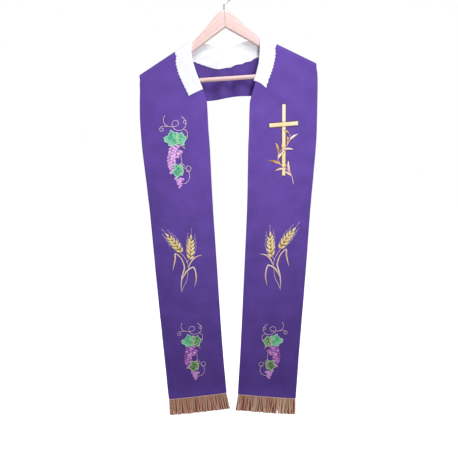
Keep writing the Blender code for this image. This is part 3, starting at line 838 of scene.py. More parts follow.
def collarSkin(face, places, distance, lift, columns):
    # one layer: across the cloth from the neck edge, or a little beyond it, to the scalloped edge;
    # the ends slide down by their skew and bow up by a half sine
    depth = collarDepth(face, places, distance)
    reach = neckReach(places)
    across = columns * (depth + reach)[:, None] - reach[:, None]
    slide = 0.0
    for side in (-1, 1):
        end = collarEnd(side)
        near = smoothStep(side * places, end - collar["endReach"], end)[:, None]
        bow = collar["endBow"][side] * np.sin(math.pi * columns)
        slide = slide + side * near * (collar["endSkew"][side] * columns - bow)
    across = across / stripWidth(places)[:, None]
    middle, normal, sideways = clothFrame(places[:, None] + slide, across)
    fade = np.minimum(1, 3 * columns)
    if face < 0:
        calm = smoothStep(np.abs(places), *collar["calmPlaces"])[:, None]
        fade = fade * (1 - (1 - collar["calm"]) * calm)
    raised = fade * humps(collarCreases[face], distance[:, None], columns * depth[:, None])
    return middle + face * normal * (lift[:, None] + raised)[..., None], face * normal, sideways


def addCollar(finish, edgeFinish):
    half = collar["thick"] / 2
    places, share = withLips(evenPlaces(-collarEnd(-1), collarEnd(1), collar["rows"], 0.6), half)
    distance = lengthAlong(stripPoints(places, np.full(places.shape, 0.1)))
    distance = distance - np.interp(0, places, distance)
    columns = np.linspace(0, 1, collar["columns"]) ** 0.9
    neck, normal, sideways = clothFrame(places, -neckReach(places) / stripWidth(places))
    fold = arch(7, normal, -sideways)
    skins, layers = [], []
    for off in (-half, half):
        lift = collar["lift"] + off * share
        layers = [collarSkin(face, places, distance, lift, columns) for face in (1, -1)]
        overFold = neck[:, None] + fold * lift[:, None, None]
        skins.append(np.concatenate([layers[0][0][:, ::-1], overFold, layers[1][0]], axis=1))
    reach = half * share[:, None, None]
    radius = np.full(len(places), collar["edgeCord"])
    radius[[0, -1]] = 0.0
    rims, cords = [], []
    for layer in layers:
        points, normal, sideways = (part[:, -1] for part in layer)
        rims.append(points[:, None] + (arch(3, normal, sideways) - normal[:, None]) * reach)
        cords.append(block(tubeRings(points - normal * half, normal, sideways, radius, 8)))
    rings = np.concatenate([skins[1], rims[1], skins[0][:, ::-1], rims[0][:, ::-1]], axis=1)
    made = makePiece("collar_guard", [block(rings)], finish)
    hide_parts("collar")
    return made, makePiece("collar_edge_stitching", cords, edgeFinish)


# Embroidery. Each motif is drawn flat in millimetres, x right and y up, with its height above the
# cloth, and is then sewn to the front that it belongs to.


stitch = {
    "pitch": 0.00042,  # from thread to thread
    "height": 0.00016,
    "cord": 2.4,  # length of a cord's stitches, mm
    "pinch": 0.14,  # a cord is this much thinner where a stitch goes down
    "sink": 0.35,  # depth of the underside of a satin patch in the cloth, mm
}
threads = {
    "tendril": (0.92, 0.64, 0.80),
    "tendrilGold": (0.86, 0.60, 0.42),
    "gold": (1.0, 0.62, 0.13),
    "goldLight": (1.0, 0.91, 0.54),
    "brown": (0.13, 0.04, 0.03),
    "rust": (0.30, 0.10, 0.06),
    "blade": (1.0, 0.66, 0.53),
    "bladeLight": (1.0, 0.88, 0.76),
    "awn": (0.95, 0.72, 0.74),
    "sprigGold": (0.50, 0.24, 0.09),
    "crossGold": (1.0, 0.80, 0.38),
    "crossLight": (1.0, 0.94, 0.72),
}
leafThreads = {
    # plain, deep, edge and vein
    "green": ((0.18, 0.70, 0.42), (0.02, 0.40, 0.24), (0.58, 0.92, 0.76), (0.50, 0.78, 0.30)),
    "mint": ((0.26, 0.86, 0.48), (0.08, 0.58, 0.30), (0.66, 0.98, 0.78), (0.50, 0.78, 0.30)),
    "moss": ((0.14, 0.56, 0.20), (0.01, 0.20, 0.05), (0.86, 0.96, 0.68), (0.80, 0.72, 0.36)),
}
grapeThreads = {
    # plain, painted highlight, and painted shade that also colours the dark ring
    "violet": ((0.72, 0.33, 0.84), (1.0, 0.70, 1.0), (0.26, 0.07, 0.33)),
    "rosy violet": ((0.72, 0.33, 0.84), (1.0, 0.70, 1.0), (0.55, 0.10, 0.64)),
    "plum": ((0.55, 0.10, 0.64), (0.96, 0.50, 0.98), (0.10, 0.02, 0.20)),
    "orchid": ((0.88, 0.42, 0.95), (0.96, 0.50, 0.98), (0.72, 0.33, 0.84)),
}


def mixed(first, second, share):
    share = np.asarray(share, float)[..., None]
    return np.array(first) * (1 - share) + np.array(second) * share


def shaded(first, last, share):
    # from one thread to another along a path
    return mixed(threads[first], threads[last], np.clip(share, 0, 1))[:, None, :]


def curveThrough(points, step=0.8):
    # a smooth line through a few points, read every step millimetres or so
    points = np.array(points, float)
    points = np.vstack([2 * points[0] - points[1], points, 2 * points[-1] - points[-2]])
    spans = []
    for before, start, end, after in zip(points, points[1:], points[2:], points[3:]):
        count = max(3, int(np.linalg.norm(end - start) / step))
        t = np.linspace(0, 1, count, endpoint=False)[:, None]
        spans.append(catmullRom(before, start, end, after, t))
    return np.vstack([*spans, points[-2]])


def tendrilPath(start, heading, pieces, step=0.5):
    # the heading is the running sum of the bends, softened, and the path the sum of the headings
    bends = [np.full(max(2, round(a / step)), math.radians(b) / a) for a, b in pieces]
    bends = np.pad(np.concatenate(bends), 5, "edge")
    soft = np.convolve(bends, np.ones(11) / 11, "valid")
    steps = unit(heading + np.degrees(np.cumsum(soft) * step)) * step
    return np.vstack([start, np.array(start) + np.cumsum(steps, axis=0)])


def sidesOf(path):
    # unit normals to the left of a flat path, and distance along it
    steps = normalised(np.gradient(path, axis=0))
    return np.stack([-steps[:, 1], steps[:, 0]], axis=1), lengthAlong(path)


def nearestEnd(distance):
    return np.minimum(distance, distance[-1] - distance)


def withHeight(flat, height):
    return np.concatenate([flat, np.broadcast_to(height, flat.shape[:2])[..., None]], axis=2)


def cordBlock(path, radius, tint, lift=0.0, sides=7):
    # a flattened cord along a path, thinner where each stitch goes down
    left, distance = sidesOf(path)
    plump = np.sqrt(np.abs(np.sin(math.pi * distance / stitch["cord"])))
    size = radius * (1 - stitch["pinch"] + stitch["pinch"] * plump)
    size = size * np.sqrt(np.clip(nearestEnd(distance) / (2 * np.max(radius)), 0, 1))
    size = size[:, None]
    turn = roundAngles(sides)
    height = lift + np.where(size > 0, 0.75 * size * (0.35 + np.sin(turn)), 0)
    flat = path[:, None] + (size * np.cos(turn))[..., None] * left[:, None]
    return block(withHeight(flat, height), tint)


def satinBlock(path, halfWidth, height, tint, lift=0.0, columns=9):
    # a low arch of thread from side to side: height * (1 - v^4)^0.5 over the width v
    left, _ = sidesOf(path)
    v = np.linspace(-1, 1, columns)
    full = np.sqrt(np.clip(halfWidth / max(halfWidth.max(), 1e-9), 0, 1))
    offsets = np.concatenate([v, [0.6, 0.0, -0.6]])
    heights = np.concatenate([height * np.sqrt(1 - v**4), [-stitch["sink"]] * 3])
    flat = path[:, None] + (halfWidth[:, None] * offsets)[..., None] * left[:, None]
    return block(withHeight(flat, lift + full[:, None] * heights), tint)


discShare = np.array([0.0, 0.22, 0.42, 0.60, 0.76, 0.88, 0.96, 1.0, 1.0, 0.0])  # of the way out


def discBlock(centre, outline, height, tint, angle, lift=0.0):
    # a domed patch: rings from the middle to the outline, and back underneath
    rise = height * np.sqrt(1 - discShare**3.2)
    rise[-2:] = -stitch["sink"]
    flat = np.asarray(centre, float) + outline[None] * discShare[:, None, None]
    axes = np.stack([unit(angle), unit(angle + 90)], axis=-1)
    return block(withHeight(flat, lift + rise[:, None]), tint, wrapped(flat) @ axes)


def roundOutline(count, width, height):
    # an ellipse, with the angle of each of its points
    phi = np.linspace(0, 360, count, endpoint=False)
    return phi, unit(phi) * (width, height)


leafLook = {
    "height": 0.75,
    "teeth": 0.052,  # depth of the larger teeth, as a share of the reach
    "edge": 1.05,  # radii of the cords
    "vein": 0.55,
    "sideVein": 0.34,
    "veinBend": [(0.33, 9), (0.62, 3), (0.88, 0)],  # share of the way to the tip, degrees off it
    "sideStart": 1.25,  # side veins: their start on the vein, their reach, degrees off it
    "sideReach": 0.66,
    "sideTurn": 18.33465,
}


def leafBlocks(stalk, tips, notches, lift, seed, shade):
    # a vine leaf about the foot of its stalk: r = straight lines from notch to tip, and teeth
    phi = np.radians(np.arange(0, 360, 2.5))
    corners = np.array(sorted([(angle % 360, size) for angle, size in tips + notches]))
    reach = np.interp(np.degrees(phi), corners[:, 0], corners[:, 1], period=360)
    reach = np.convolve(np.pad(reach, 2, "wrap"), [0.1, 0.2, 0.4, 0.2, 0.1], "valid")
    teeth = np.sin(17 * phi + seed) + 0.5 * np.sin(29 * phi)
    reach = reach * (1.01 + leafLook["teeth"] * teeth)
    outline = reach[:, None] * unit(np.degrees(phi))
    share = discShare[:, None]
    patch = np.sin(2 * phi + seed) * np.sin(5 * share + 0.6 * seed) + 0.6 * np.sin(5 * phi + 9 * share)
    plain, deep, edgeShade, veinShade = leafThreads[shade]
    tint = mixed(plain, deep, np.clip(0.45 + 1.6 * patch, 0, 1))
    stalk = np.asarray(stalk)
    edge = stalk + np.vstack([outline, outline[:1]]) * 0.985
    blocks = [
        discBlock(stalk, outline, leafLook["height"], tint, tips[0][0] + 40, lift),
        cordBlock(edge, leafLook["edge"], edgeShade, lift + 0.22),
    ]
    shares, turns = np.transpose(leafLook["veinBend"])
    for angle, size in tips:
        points = size * shares[:, None] * unit(angle + turns)
        vein = stalk + curveThrough([(0.0, 0.0), *points])
        blocks.append(cordBlock(vein, leafLook["vein"], veinShade, lift + 0.66))
        for way in (-1, 1):
            start = leafLook["sideStart"] * points[0]
            end = leafLook["sideReach"] * size * unit(angle + way * leafLook["sideTurn"])
            side = stalk + curveThrough([start, (start + end) / 2 + 0.4, end])
            blocks.append(cordBlock(side, leafLook["sideVein"], veinShade, lift + 0.62, 5))
    return blocks


grapeLook = {
    "height": 1.15,
    "line": 0.36,
    "light": 125,  # degrees
    "zigzag": 0.26,  # of the pitch
    "stray": 0.9,  # millimetres each way
    "sizes": (0.86, 1.08),
    "alone": 0.86,  # size of the only grape in a row
    "tones": (-0.16, 0.24),
    "turns": (15, 60),  # directions of the stitches
}


def grapeBlocks(centre, radius, angle, bright, lift, shade):
    # a round satin dome, a painted highlight towards the upper left and painted shade opposite, in a dark line
    phi, outline = roundOutline(20, 1.04 * radius, 0.96 * radius)
    # painted highlight and painted shade: the tone rises towards the light's angle on each dome
    tone = 0.55 + 0.45 * discShare[:, None] * np.cos(np.radians(phi - grapeLook["light"])) + bright
    plain, lit, shadeColour = grapeThreads[shade]
    light = mixed(plain, lit, np.clip(2 * tone - 1, 0, 1))
    dark = mixed(shadeColour, plain, np.clip(0.45 + 1.1 * tone, 0, 1))
    tint = np.where(tone[..., None] > 0.5, light, dark)
    # a dark outline in the painted shade colour, which also stands for the shade between grapes
    ring = np.asarray(centre) + np.vstack([outline, outline[:1]]) * 1.02
    return [
        discBlock(centre, outline, grapeLook["height"], tint, angle, lift),
        cordBlock(ring, grapeLook["line"], shadeColour, lift + 0.10, 5),
    ]


vine = {
    "tendrils": [
        # start, heading, (length, bend) of each stretch
        ((-32.7, 103.4), 228, [(12, 34), (13, 40), (12, 44)]),
        ((-30.3, 72.3), 172, [(10, 15), (9, 50), (8, 75), (9, 100), (8, 110), (4, 60)]),
        ((-31.0, 72.3), -4,
         [(27, 6), (10, 58), (13, 92), (14, 90), (17, 66), (21, 58), (25, 72), (19, 58), (10, 8)]),
        ((28.5, 88.5), 185, [(5, -15), (8, 105), (8, 115), (7, 110)]),
        ((17.0, 63.6), 4, [(9, -38), (10, -52), (17, -22)]),
        ((5.0, 19.0), -8, [(12, -18), (10, -28)]),
        ((10.9, -1.0), -82, [(15, -2), (14, 2)]),
        ((14.0, -29.5), -125, [(9, 12)]),
        ((14.0, -29.5), -62, [(9, 14), (6, 10)]),
        ((14.0, -43.5), -6, [(18, -40), (21, -46), (20, -50), (11, -46), (6, -34)]),
        ((24.5, -48.0), 84, [(10, -62), (12, -92), (12, -88), (10, -72)]),
    ],
    "tendrilRadius": 0.92,
    "leaves": [
        # foot of the stalk, (angle, reach) of its tips and of its notches, lift, seed
        ((3.0, 37.0),
         [(183, 41), (130, 31), (222, 31), (98, 20), (254, 19)],
         [(155, 27), (204, 29), (113, 17), (240, 18), (290, 3), (60, 4)], 0.9, 0.5),
        ((4.0, 36.5),
         [(6, 24), (60, 22), (-52, 24), (104, 16), (-95, 14)],
         [(34, 18), (-22, 18.5), (82, 13), (-74, 12), (140, 3), (230, 3)], 1.2, 2.1),
        ((15.6, -44.5),
         [(240, 36), (210, 33), (163, 26), (268, 23), (122, 12)],
         [(226, 27), (187, 20), (255, 18), (143, 10), (300, 2), (80, 2)], 1.3, 3.6),
    ],
    "bunches": [
        # radius and pitch of the grapes, then y, x of the first grape and count for each row
        (4.9, 8.2, [
            (18.5, -4.5, 2), (12.4, -13.0, 3), (4.6, -17.0, 4), (-3.4, -20.0, 5), (-11.4, -21.4, 4),
            (-19.4, -22.6, 3), (-27.4, -23.0, 3), (-35.4, -22.0, 3), (-43.4, -20.0, 2),
            (-51.2, -18.0, 2), (-59.0, -15.5, 1),
        ]),
        (4.0, 6.6, [(-77.2, -1.6, 4), (-83.0, 1.8, 3), (-88.6, 5.0, 2), (-94.0, 5.4, 2), (-100.4, 8.6, 1)]),
    ],
}
vineShades = {
    # threads of the three leaves; threads and unevenness of the two bunches
    "fresh": (("green", "green", "green"), (("violet", 1.0), ("rosy violet", 1.0))),
    "deep": (("mint", "moss", "moss"), (("plum", 2.0), ("orchid", 0.8))),
}


def bunchBlocks(radius, pitch, rows, shade, uneven, draw):
    # rows of grapes that zigzag a little, each of its own size, place and tone
    blocks = []
    stray = grapeLook["stray"]
    for y, x, count in rows:
        zigzag = grapeLook["zigzag"] * pitch if count > 1 else 0.0
        full = radius * (grapeLook["alone"] if count == 1 else 1.0)
        for index in range(count):
            rise = (-1) ** index * zigzag + draw.uniform(-stray, stray)
            centre = (x + index * pitch + draw.uniform(-stray, stray), y + rise)
            size = full * draw.uniform(*grapeLook["sizes"])
            lift = 0.25 * (index % 2) + draw.uniform(0, 0.12)
            tone = uneven * draw.uniform(*grapeLook["tones"])
            blocks += grapeBlocks(centre, size, draw.uniform(*grapeLook["turns"]), tone, lift, shade)
    return blocks


def vineBlocks(mood):
    draw = np.random.default_rng(5)
    leafShades, bunchShades = vineShades[mood]
    blocks = []
    for bunch, shade in zip(vine["bunches"], bunchShades):
        blocks += bunchBlocks(*bunch, *shade, draw)
    for tendril in vine["tendrils"]:
        path = tendrilPath(*tendril)
        tint = shaded("tendril", "tendrilGold", 0.25 + 0.25 * np.sin(np.arange(len(path)) / 17.0))
        blocks.append(cordBlock(path, vine["tendrilRadius"], tint))
    for leaf, shade in zip(vine["leaves"], leafShades):
        blocks += leafBlocks(*leaf, shade)
    return blocks


wheat = {
    "ears": [
        # base, axis, length, seed
        ((-21.0, 42.5), 127.5, 70.0, 20),
        ((3.4, 23.0), 83.5, 69.0, 21),
    ],
    "grain": (17.6, 3.8),  # length and half width
    "grainSizes": (0.88, 1.15, 1.12, 1.0, 0.88, 0.90),  # five pairs from the foot, then the top one
    "grainTurn": (41, 28),  # degrees off the axis, at the foot and at the top
    "grainLine": 0.55,
    "awn": 21.0,
    "awnRadius": 0.50,
    "stems": [
        [(-24.0, 42.5), (-12.0, 28.0), (-5.0, 15.0), (-1.5, 0.0), (-3.0, -15.0)],
        [(3.0, 23.0), (-4.0, 15.0), (-5.5, 10.0)],
        [(-3.0, -13.0), (-6.0, -35.0), (-17.0, -58.0), (-22.5, -71.0)],
    ],
    "stem": 0.85,
    "blades": [
        # how full it is at the start and end, middle line
        (0.10, 0.75, [(-23.0, -74.0), (-23.6, -54.0), (-20.5, -30.0), (-14.0, -8.0), (-13.0, 2.0),
                      (-20.0, 22.0), (-29.0, 33.0), (-37.4, 38.6)]),
        (0.95, 0.10, [(-35.6, 39.6), (-39.6, 36.0), (-39.4, 24.0), (-43.0, 8.0), (-47.6, -10.0)]),
        (0.15, 0.80, [(-20.0, -35.0), (-9.0, -15.5), (2.0, -6.0), (12.6, -0.4)]),
        (0.95, 0.10, [(9.6, -1.6), (15.0, -2.6), (19.6, -16.0), (20.8, -36.0), (15.6, -58.0)]),
        (0.15, 0.10, [(-1.0, -4.0), (6.6, 13.5), (16.5, 24.5), (26.0, 29.8), (38.6, 32.6)]),
    ],
    "blade": 2.25,
    "bladeShadow": 0.70,
}


def bladeBlocks(points, halfWidth, first, last, lift=0.0, shade=("blade", "bladeLight")):
    # a slim leaf, its half width rising from the first to the full one and falling to the last,
    # with a dark line down its lower side
    path = curveThrough(points)
    left, distance = sidesOf(path)
    t = distance / distance[-1]
    rise, fall = np.clip(t / 0.35, 0, 1), np.clip((1 - t) / 0.45, 0, 1)
    width = halfWidth * np.minimum(first + (1 - first) * rise**0.8, last + (1 - last) * fall**0.8)
    width = width * quarterRound(nearestEnd(distance) / (0.6 * halfWidth))
    tint = shaded(*shade, 0.5 + 0.5 * np.sin(5 * t + len(path)))
    shadow = path - left * (width[:, None] + 0.30)
    return [
        cordBlock(shadow, wheat["bladeShadow"], threads["brown"], lift - 0.05, 5),
        satinBlock(path, width, 0.75, tint, lift),
    ]


def grainBlocks(base, angle, length, halfWidth, lift, tone):
    # a pointed lozenge of thread, golden at its root, in a brown line
    t = np.linspace(0, 1, 15)
    path = np.array(base) + length * t[:, None] * unit(angle)
    width = halfWidth * np.sin(math.pi * t**0.70) ** 0.80
    width[[0, -1]] = 0.0
    left, _ = sidesOf(path)
    tint = shaded("gold", "goldLight", 0.2 + t + tone)
    blocks = []
    for way in (-1, 1):
        line = path + way * left * (width[:, None] + 0.15)
        blocks.append(cordBlock(line, wheat["grainLine"], threads["brown"], lift - 0.35, 5))
    return [*blocks, satinBlock(path, width, 1.0, tint, lift)]


def earBlocks(base, axis, length, seed):
    # a brown band, pairs of grains up a slightly bent axis, then a single one; awns from the tips
    draw = np.random.default_rng(seed)
    grainLength, halfWidth = wheat["grain"]
    pairs = len(wheat["grainSizes"]) - 1
    climb = (length - grainLength * 0.85) / pairs
    band = np.array(base) + unit(axis) * np.linspace(2, length - 12, 30)[:, None]
    width = np.linspace(4.4, 2.4, 30) * np.sqrt(np.sin(math.pi * np.linspace(0.02, 0.97, 30)))
    low, high = wheat["grainTurn"]
    blocks, awns = [satinBlock(band, width, 0.25, threads["rust"])], []
    for index in range(pairs, -1, -1):
        up = index / pairs
        size = wheat["grainSizes"][index]
        heading = axis + 4.0 * (up - 0.5)
        along, across = unit(heading), unit(heading + 90)
        for way in ((-1, 1) if index < pairs else (0,)):
            turn = heading + way * (low + (high - low) * up + draw.uniform(-2, 2))
            root = np.array(base) + along * climb * (index + 0.12 * way) + way * 0.5 * across
            grain = (grainLength * size, halfWidth * (0.7 + 0.3 * size), 0.35 - 0.30 * up)
            blocks += grainBlocks(root, turn, *grain, draw.uniform(-0.12, 0.12))
            tip = root + unit(turn) * grainLength * size
            bend = tip + 1.8 * way * across + wheat["awn"] * 0.36 * along
            end = tip + 1.4 * way * across + wheat["awn"] * (0.66 + 0.20 * up) * along
            points = [tip - 2 * unit(turn), bend, end] if way else [tip - unit(turn), end]
            awns.append(cordBlock(curveThrough(points), wheat["awnRadius"], threads["awn"], 0.0, 5))
    return awns + blocks


def wheatBlocks():
    blocks = []
    for points in wheat["stems"]:
        blocks.append(cordBlock(curveThrough(points), wheat["stem"], threads["awn"]))
    for number, (first, last, points) in enumerate(wheat["blades"]):
        blocks += bladeBlocks(points, wheat["blade"], first, last, 0.1 * number)
    for ear in wheat["ears"]:
        blocks += earBlocks(*ear)
    return blocks


crossDesign = {
    # lengths in millimetres
    "upright": ((1.2, 102.0), (-1.2, -102.0), 5.4, 0.0, 1.0),  # ends, half width, lift, play of light
    "bar": ((-41.4, 42.3), (41.4, 47.5), 6.2, 0.35, 2.6),
    "outline": 1.10,
    "lineGap": 0.75,
    "squared": 0.9,  # length over which a bar's ends round off
    "lifted": 1.15,  # height of leaves and berries over the cross
    "low": 0.15,
    "overUpright": 9,  # how near the upright they are lifted
    "sprig": [
        (27.0, -128.0), (24.0, -110.0), (19.0, -95.0), (8.0, -84.0), (-8.0, -72.0), (-17.0, -56.0),
        (-15.0, -38.0), (-2.0, -24.0), (12.0, -10.0), (19.0, 8.0), (15.0, 24.0),
    ],
    "leaves": [
        # share of the stem, side, length, half width, turn from the stem
        (0.13, 1, 27, 3.4, 42), (0.21, -1, 33, 3.6, 34), (0.30, 1, 31, 3.3, 46), (0.41, 1, 36, 3.6, 34),
        (0.50, -1, 29, 3.3, 46), (0.58, 1, 33, 3.5, 34), (0.67, -1, 33, 3.3, 42), (0.78, 1, 26, 3.0, 42),
        (0.86, -1, 30, 3.1, 34), (0.96, 1, 22, 2.7, 40),
    ],
    "berries": [(0.22, 7.5), (0.33, -7.0), (0.60, -7.5), (0.71, 7.5), (0.88, 6.5)],
    "berry": 2.9,
}


def barBlocks(start, end, halfWidth, lift, play):
    # a straight satin bar with squared ends, and a brown line round it
    start, end = np.array(start), np.array(end)
    length = np.linalg.norm(end - start)
    near = np.array([0.0, 0.15, 0.45, 0.9])
    rows = np.concatenate([near, np.linspace(2, length - 2, 40), length - near[::-1]])
    path = start + (end - start) * (rows / length)[:, None]
    width = halfWidth * quarterRound(np.minimum(rows, length - rows) / crossDesign["squared"])
    tint = shaded("crossGold", "crossLight", 0.55 + 0.45 * np.sin(rows / length * 5 + play))
    left, _ = sidesOf(path)
    reach = left[10] * (halfWidth + crossDesign["lineGap"])
    beyond = (end - start) / length * crossDesign["lineGap"]
    box = [start - beyond + reach, end + beyond + reach, end + beyond - reach, start - beyond - reach]
    blocks = []
    for first, second in zip(box, box[1:] + box[:1]):
        line = first + (second - first) * np.linspace(0, 1, 40)[:, None]
        blocks.append(cordBlock(line, crossDesign["outline"], threads["brown"], lift - 0.1, 6))
    return [*blocks, satinBlock(path, width, 1.0, tint, lift)]


def crossBlocks():
    # the cross, and a leafy sprig with berries that climbs across it
    blocks = barBlocks(*crossDesign["upright"]) + barBlocks(*crossDesign["bar"])
    stem = curveThrough(crossDesign["sprig"])
    left, distance = sidesOf(stem)
    heading = np.degrees(np.arctan2(-left[:, 0], left[:, 1]))
    overBar = crossDesign["lifted"] * smoothStep(-np.abs(stem[:, 0]), -12, -7)
    radius = 1.15 - 0.45 * distance / distance[-1]
    blocks.append(cordBlock(stem, radius, threads["blade"], overBar[:, None]))
    for at, way, length, halfWidth, turn in crossDesign["leaves"]:
        index = int(at * (len(stem) - 1))
        root = stem[index]
        angle = heading[index] + way * turn
        tip = root + length * unit(angle)
        bend = (root + tip) / 2 + 2.2 * way * unit(angle - 90)
        near = min(abs(root[0]), abs(tip[0])) < crossDesign["overUpright"]
        lift = crossDesign["lifted" if near or root[0] * tip[0] < 0 else "low"]
        shade = ("sprigGold", "gold") if way > 0 and at > 0.3 else ("blade", "bladeLight")
        blocks += bladeBlocks([root, bend, tip], halfWidth, 0.1, 0.1, lift, shade)
    for at, off in crossDesign["berries"]:
        index = int(at * (len(stem) - 1))
        centre = stem[index] + off * left[index]
        blocks.append(cordBlock(np.linspace(stem[index], centre, 9), 0.4, threads["brown"], 1.1, 5))
        outline = roundOutline(16, crossDesign["berry"], crossDesign["berry"])[1]
        lift = crossDesign["lifted" if abs(centre[0]) < crossDesign["overUpright"] else "low"]
        blocks.append(discBlock(centre, outline, 0.9, threads["gold"], 40, lift))
    return blocks


motifs = [
    # name, drawing and its choices, side, centre x and z in metres, then the shares of the
    # drawing's x and y that make up x there, and z
    ("vine_upper_left", vineBlocks, ("fresh",), -1, (-0.1413, -0.4526), ((1.015, 0.027), (-0.013, 1.012))),
    ("vine_lower_left", vineBlocks, ("deep",), -1, (-0.1083, -1.0451), ((0.948, 0.024), (0.025, 0.856))),
    ("vine_lower_right", vineBlocks, ("deep",), 1, (0.1270, -1.0486), ((-0.952, 0.005), (-0.035, 0.831))),
    ("wheat_left", wheatBlocks, (), -1, (-0.1145, -0.7894), ((1.0, 0.0), (0.0, 1.04))),
    ("wheat_right", wheatBlocks, (), 1, (0.1325, -0.7856), ((-1.0, 0.02), (-0.07, 1.07))),
    ("cross", crossBlocks, (), 1, (0.1674, -0.4237), ((1.0, 0.0), (0.0, 1.0))),
]


def addMotif(name, drawing, choices, side, centre, spread, finish):
    # millimetres on the drawing to metres on the cloth, lifted along the cloth's own normal
    blocks = drawing(*choices)
    points = 0.001 * np.concatenate([part["rings"].reshape(-1, 3) for part in blocks])
    x, z = np.array(spread) @ points[:, :2].T
    middle, normal, _ = clothFrame(*onFront(side, centre[0] + x, centre[1] + z))
    points = middle + normal * (strip["thick"] / 2 + points[:, 2:])
    start = 0
    for part in blocks:
        rows, around = part["rings"].shape[:2]
        part["rings"] = points[start : start + rows * around].reshape(rows, around, 3)
        part["uv"] = part["uv"] * 0.001
        start += rows * around
    return makePiece(name, blocks, finish)


# Bullion fringe


fringe = {
    "length": 0.052,
    "layers": [("loose", 0.0022), ("packed", 0.0), ("loose", -0.0022)],  # distance before the cloth
    "twistPitch": 0.0056,
    "lobe": 0.20,  # depth of the grooves between the two plies, and the shade in them
    "valley": 0.22,
    "clumps": 21,
    "splay": 0.005,
    "splayReach": 0.10,
    "slant": 0.0030,
    "wander": (0.0013, 0.0009, 0.0005),  # lean and bow sideways, and sway forwards
    "start": 0.0004,  # below the hem's middle line
    "tip": 0.0016,  # lengths over which a strand's ends round off
    "top": 0.0008,
    "heading": 0.0009,  # radius of the cord over the roots
    "headingPitch": 0.005,
    "headingEnd": 0.001,
    "headingOff": 0.0024,
    "headingColour": (0.92, 0.62, 0.56),
}
strandKinds = {
    "loose": {
        "count": 56,
        "radius": 0.00126,
        "rows": 44,
        "sides": 8,
        "clumping": 0.0034,
        "trim": 0.09,
        "loose": 1.0,
        "colours": ((0.76, 0.24, 0.12), (1.0, 0.73, 0.50)),
    },
    "packed": {
        "count": 116,
        "radius": 0.00120,
        "rows": 22,
        "sides": 6,
        "clumping": 0.0002,
        "trim": 0.06,
        "loose": 0.2,
        # painted shade: these colours are far darker than the loose strands', standing for the shade in the
        # gaps
        "colours": ((0.08, 0.015, 0.008), (0.32, 0.09, 0.045)),
    },
}
fringePartings = {-1: (0.36, 0.05, 0.0006), 1: (0.69, 0.045, 0.0066)}  # across, reach, spread


def hemFrame(side, across):
    # points of the hem, the cloth's normal, the direction across it, and the way down
    root, normal, over = clothFrame(np.full(across.shape, side * float(middleStation)), across)
    return root, normal, over, normalised(np.cross(over, normal) * side)


def plies(angle, twist):
    # cos(2 (angle - twist)): 1 along each of two twisted plies and -1 in the grooves between them
    return np.cos(2 * (angle - twist[..., None]))


def strandSideways(side, share, fall, kind, draw):
    # strands gather in clumps, slant in swathes, part near the foot, splay at the ends, wander a little
    turns = 2 * math.pi * share
    clump = np.sin(fringe["clumps"] * turns + 1.8 * np.sin(3 * turns + side) + 5 * side)
    total = kind["clumping"] * clump * (0.75 + 0.25 * np.sin(5 * turns + side))
    slant = np.sin(4.3 * turns + 2 * side) + 0.7 * np.sin(9.1 * turns + side)
    total = total + kind["loose"] * fringe["slant"] * slant
    ends = np.exp(-(1 - share) / fringe["splayReach"]) - np.exp(-share / fringe["splayReach"])
    total = total + fringe["splay"] * ends
    centre, reach, spread = fringePartings[side]
    away = (share - centre) / reach
    parted = spread * np.sign(away) * np.exp(-np.abs(away))
    lean = kind["loose"] * draw.normal(0, fringe["wander"][0], share.shape)
    bow = kind["loose"] * draw.normal(0, fringe["wander"][1], share.shape)
    across = total[:, None] * fall**1.3 + parted[:, None] * fall**3 + lean[:, None] * fall**2
    return across + bow[:, None] * np.sin(math.pi * fall)


def strandBlocks(side, kind, before, draw):
    # a two-ply cord for each strand: a circle with two lobes that turn as they go down
    count = kind["count"]
    share = (np.arange(count) + 0.5) / count
    root, normal, over, down = hemFrame(side, share)
    fall = np.linspace(0, 1, kind["rows"])[None, :]
    length = fringe["length"] * (1 - kind["trim"] * draw.random(count) ** 1.5)
    sideways = strandSideways(side, share, fall, kind, draw)
    sway = draw.normal(0, fringe["wander"][2], (count, 1))
    sway = sway * np.sin(2.2 * fall + draw.uniform(0, 3, (count, 1)))
    forward = before * (0.55 + 0.45 * np.minimum(1, 3 * fall)) + sway
    distance = length[:, None] * fall
    centre = root[:, None] + down[:, None] * (fringe["start"] + distance)[..., None]
    centre = centre + over[:, None] * sideways[..., None] + normal[:, None] * forward[..., None]
    size = kind["radius"] * quarterRound((length[:, None] - distance) / fringe["tip"])
    size = size * quarterRound(distance / fringe["top"])
    size = size * (1 + 0.10 * draw.normal(0, 1, (count, 1)).clip(-1.5, 1.5))
    angle = roundAngles(kind["sides"])
    twist = 2 * math.pi * distance / fringe["twistPitch"] + draw.uniform(0, 6.3, (count, 1))
    ply = plies(angle, twist)
    radius = size[..., None] * (1 + fringe["lobe"] * ply)
    rings = centre[:, :, None] + spokes(angle, over, normal)[:, None] * radius[..., None]
    tint = mixed(*kind["colours"], draw.beta(1.6, 1.6, count))[:, None, None, :]
    tint = tint * (1 - fringe["valley"] * (1 - ply))[..., None]
    return [block(*strand) for strand in zip(rings, tint)]


def headingBlocks(side):
    # a pale two-ply cord along each face of the hem, over the roots of the strands
    root, normal, _, down = hemFrame(side, np.linspace(0.0, 1.0, 420))
    distance = lengthAlong(root)
    angle = roundAngles(8)
    ply = plies(angle, 2 * math.pi * distance / fringe["headingPitch"])
    ends = np.sqrt(np.clip(nearestEnd(distance) / fringe["headingEnd"], 0, 1))
    radius = fringe["heading"] * (1 + 0.25 * ply) * ends[:, None]
    blocks = []
    for face in (-1, 1):
        path = root + down * fringe["top"] + face * normal * fringe["headingOff"]
        rings = path[:, None] + spokes(angle, down, normal) * radius[..., None]
        blocks.append(block(rings, fringe["headingColour"]))
    return blocks


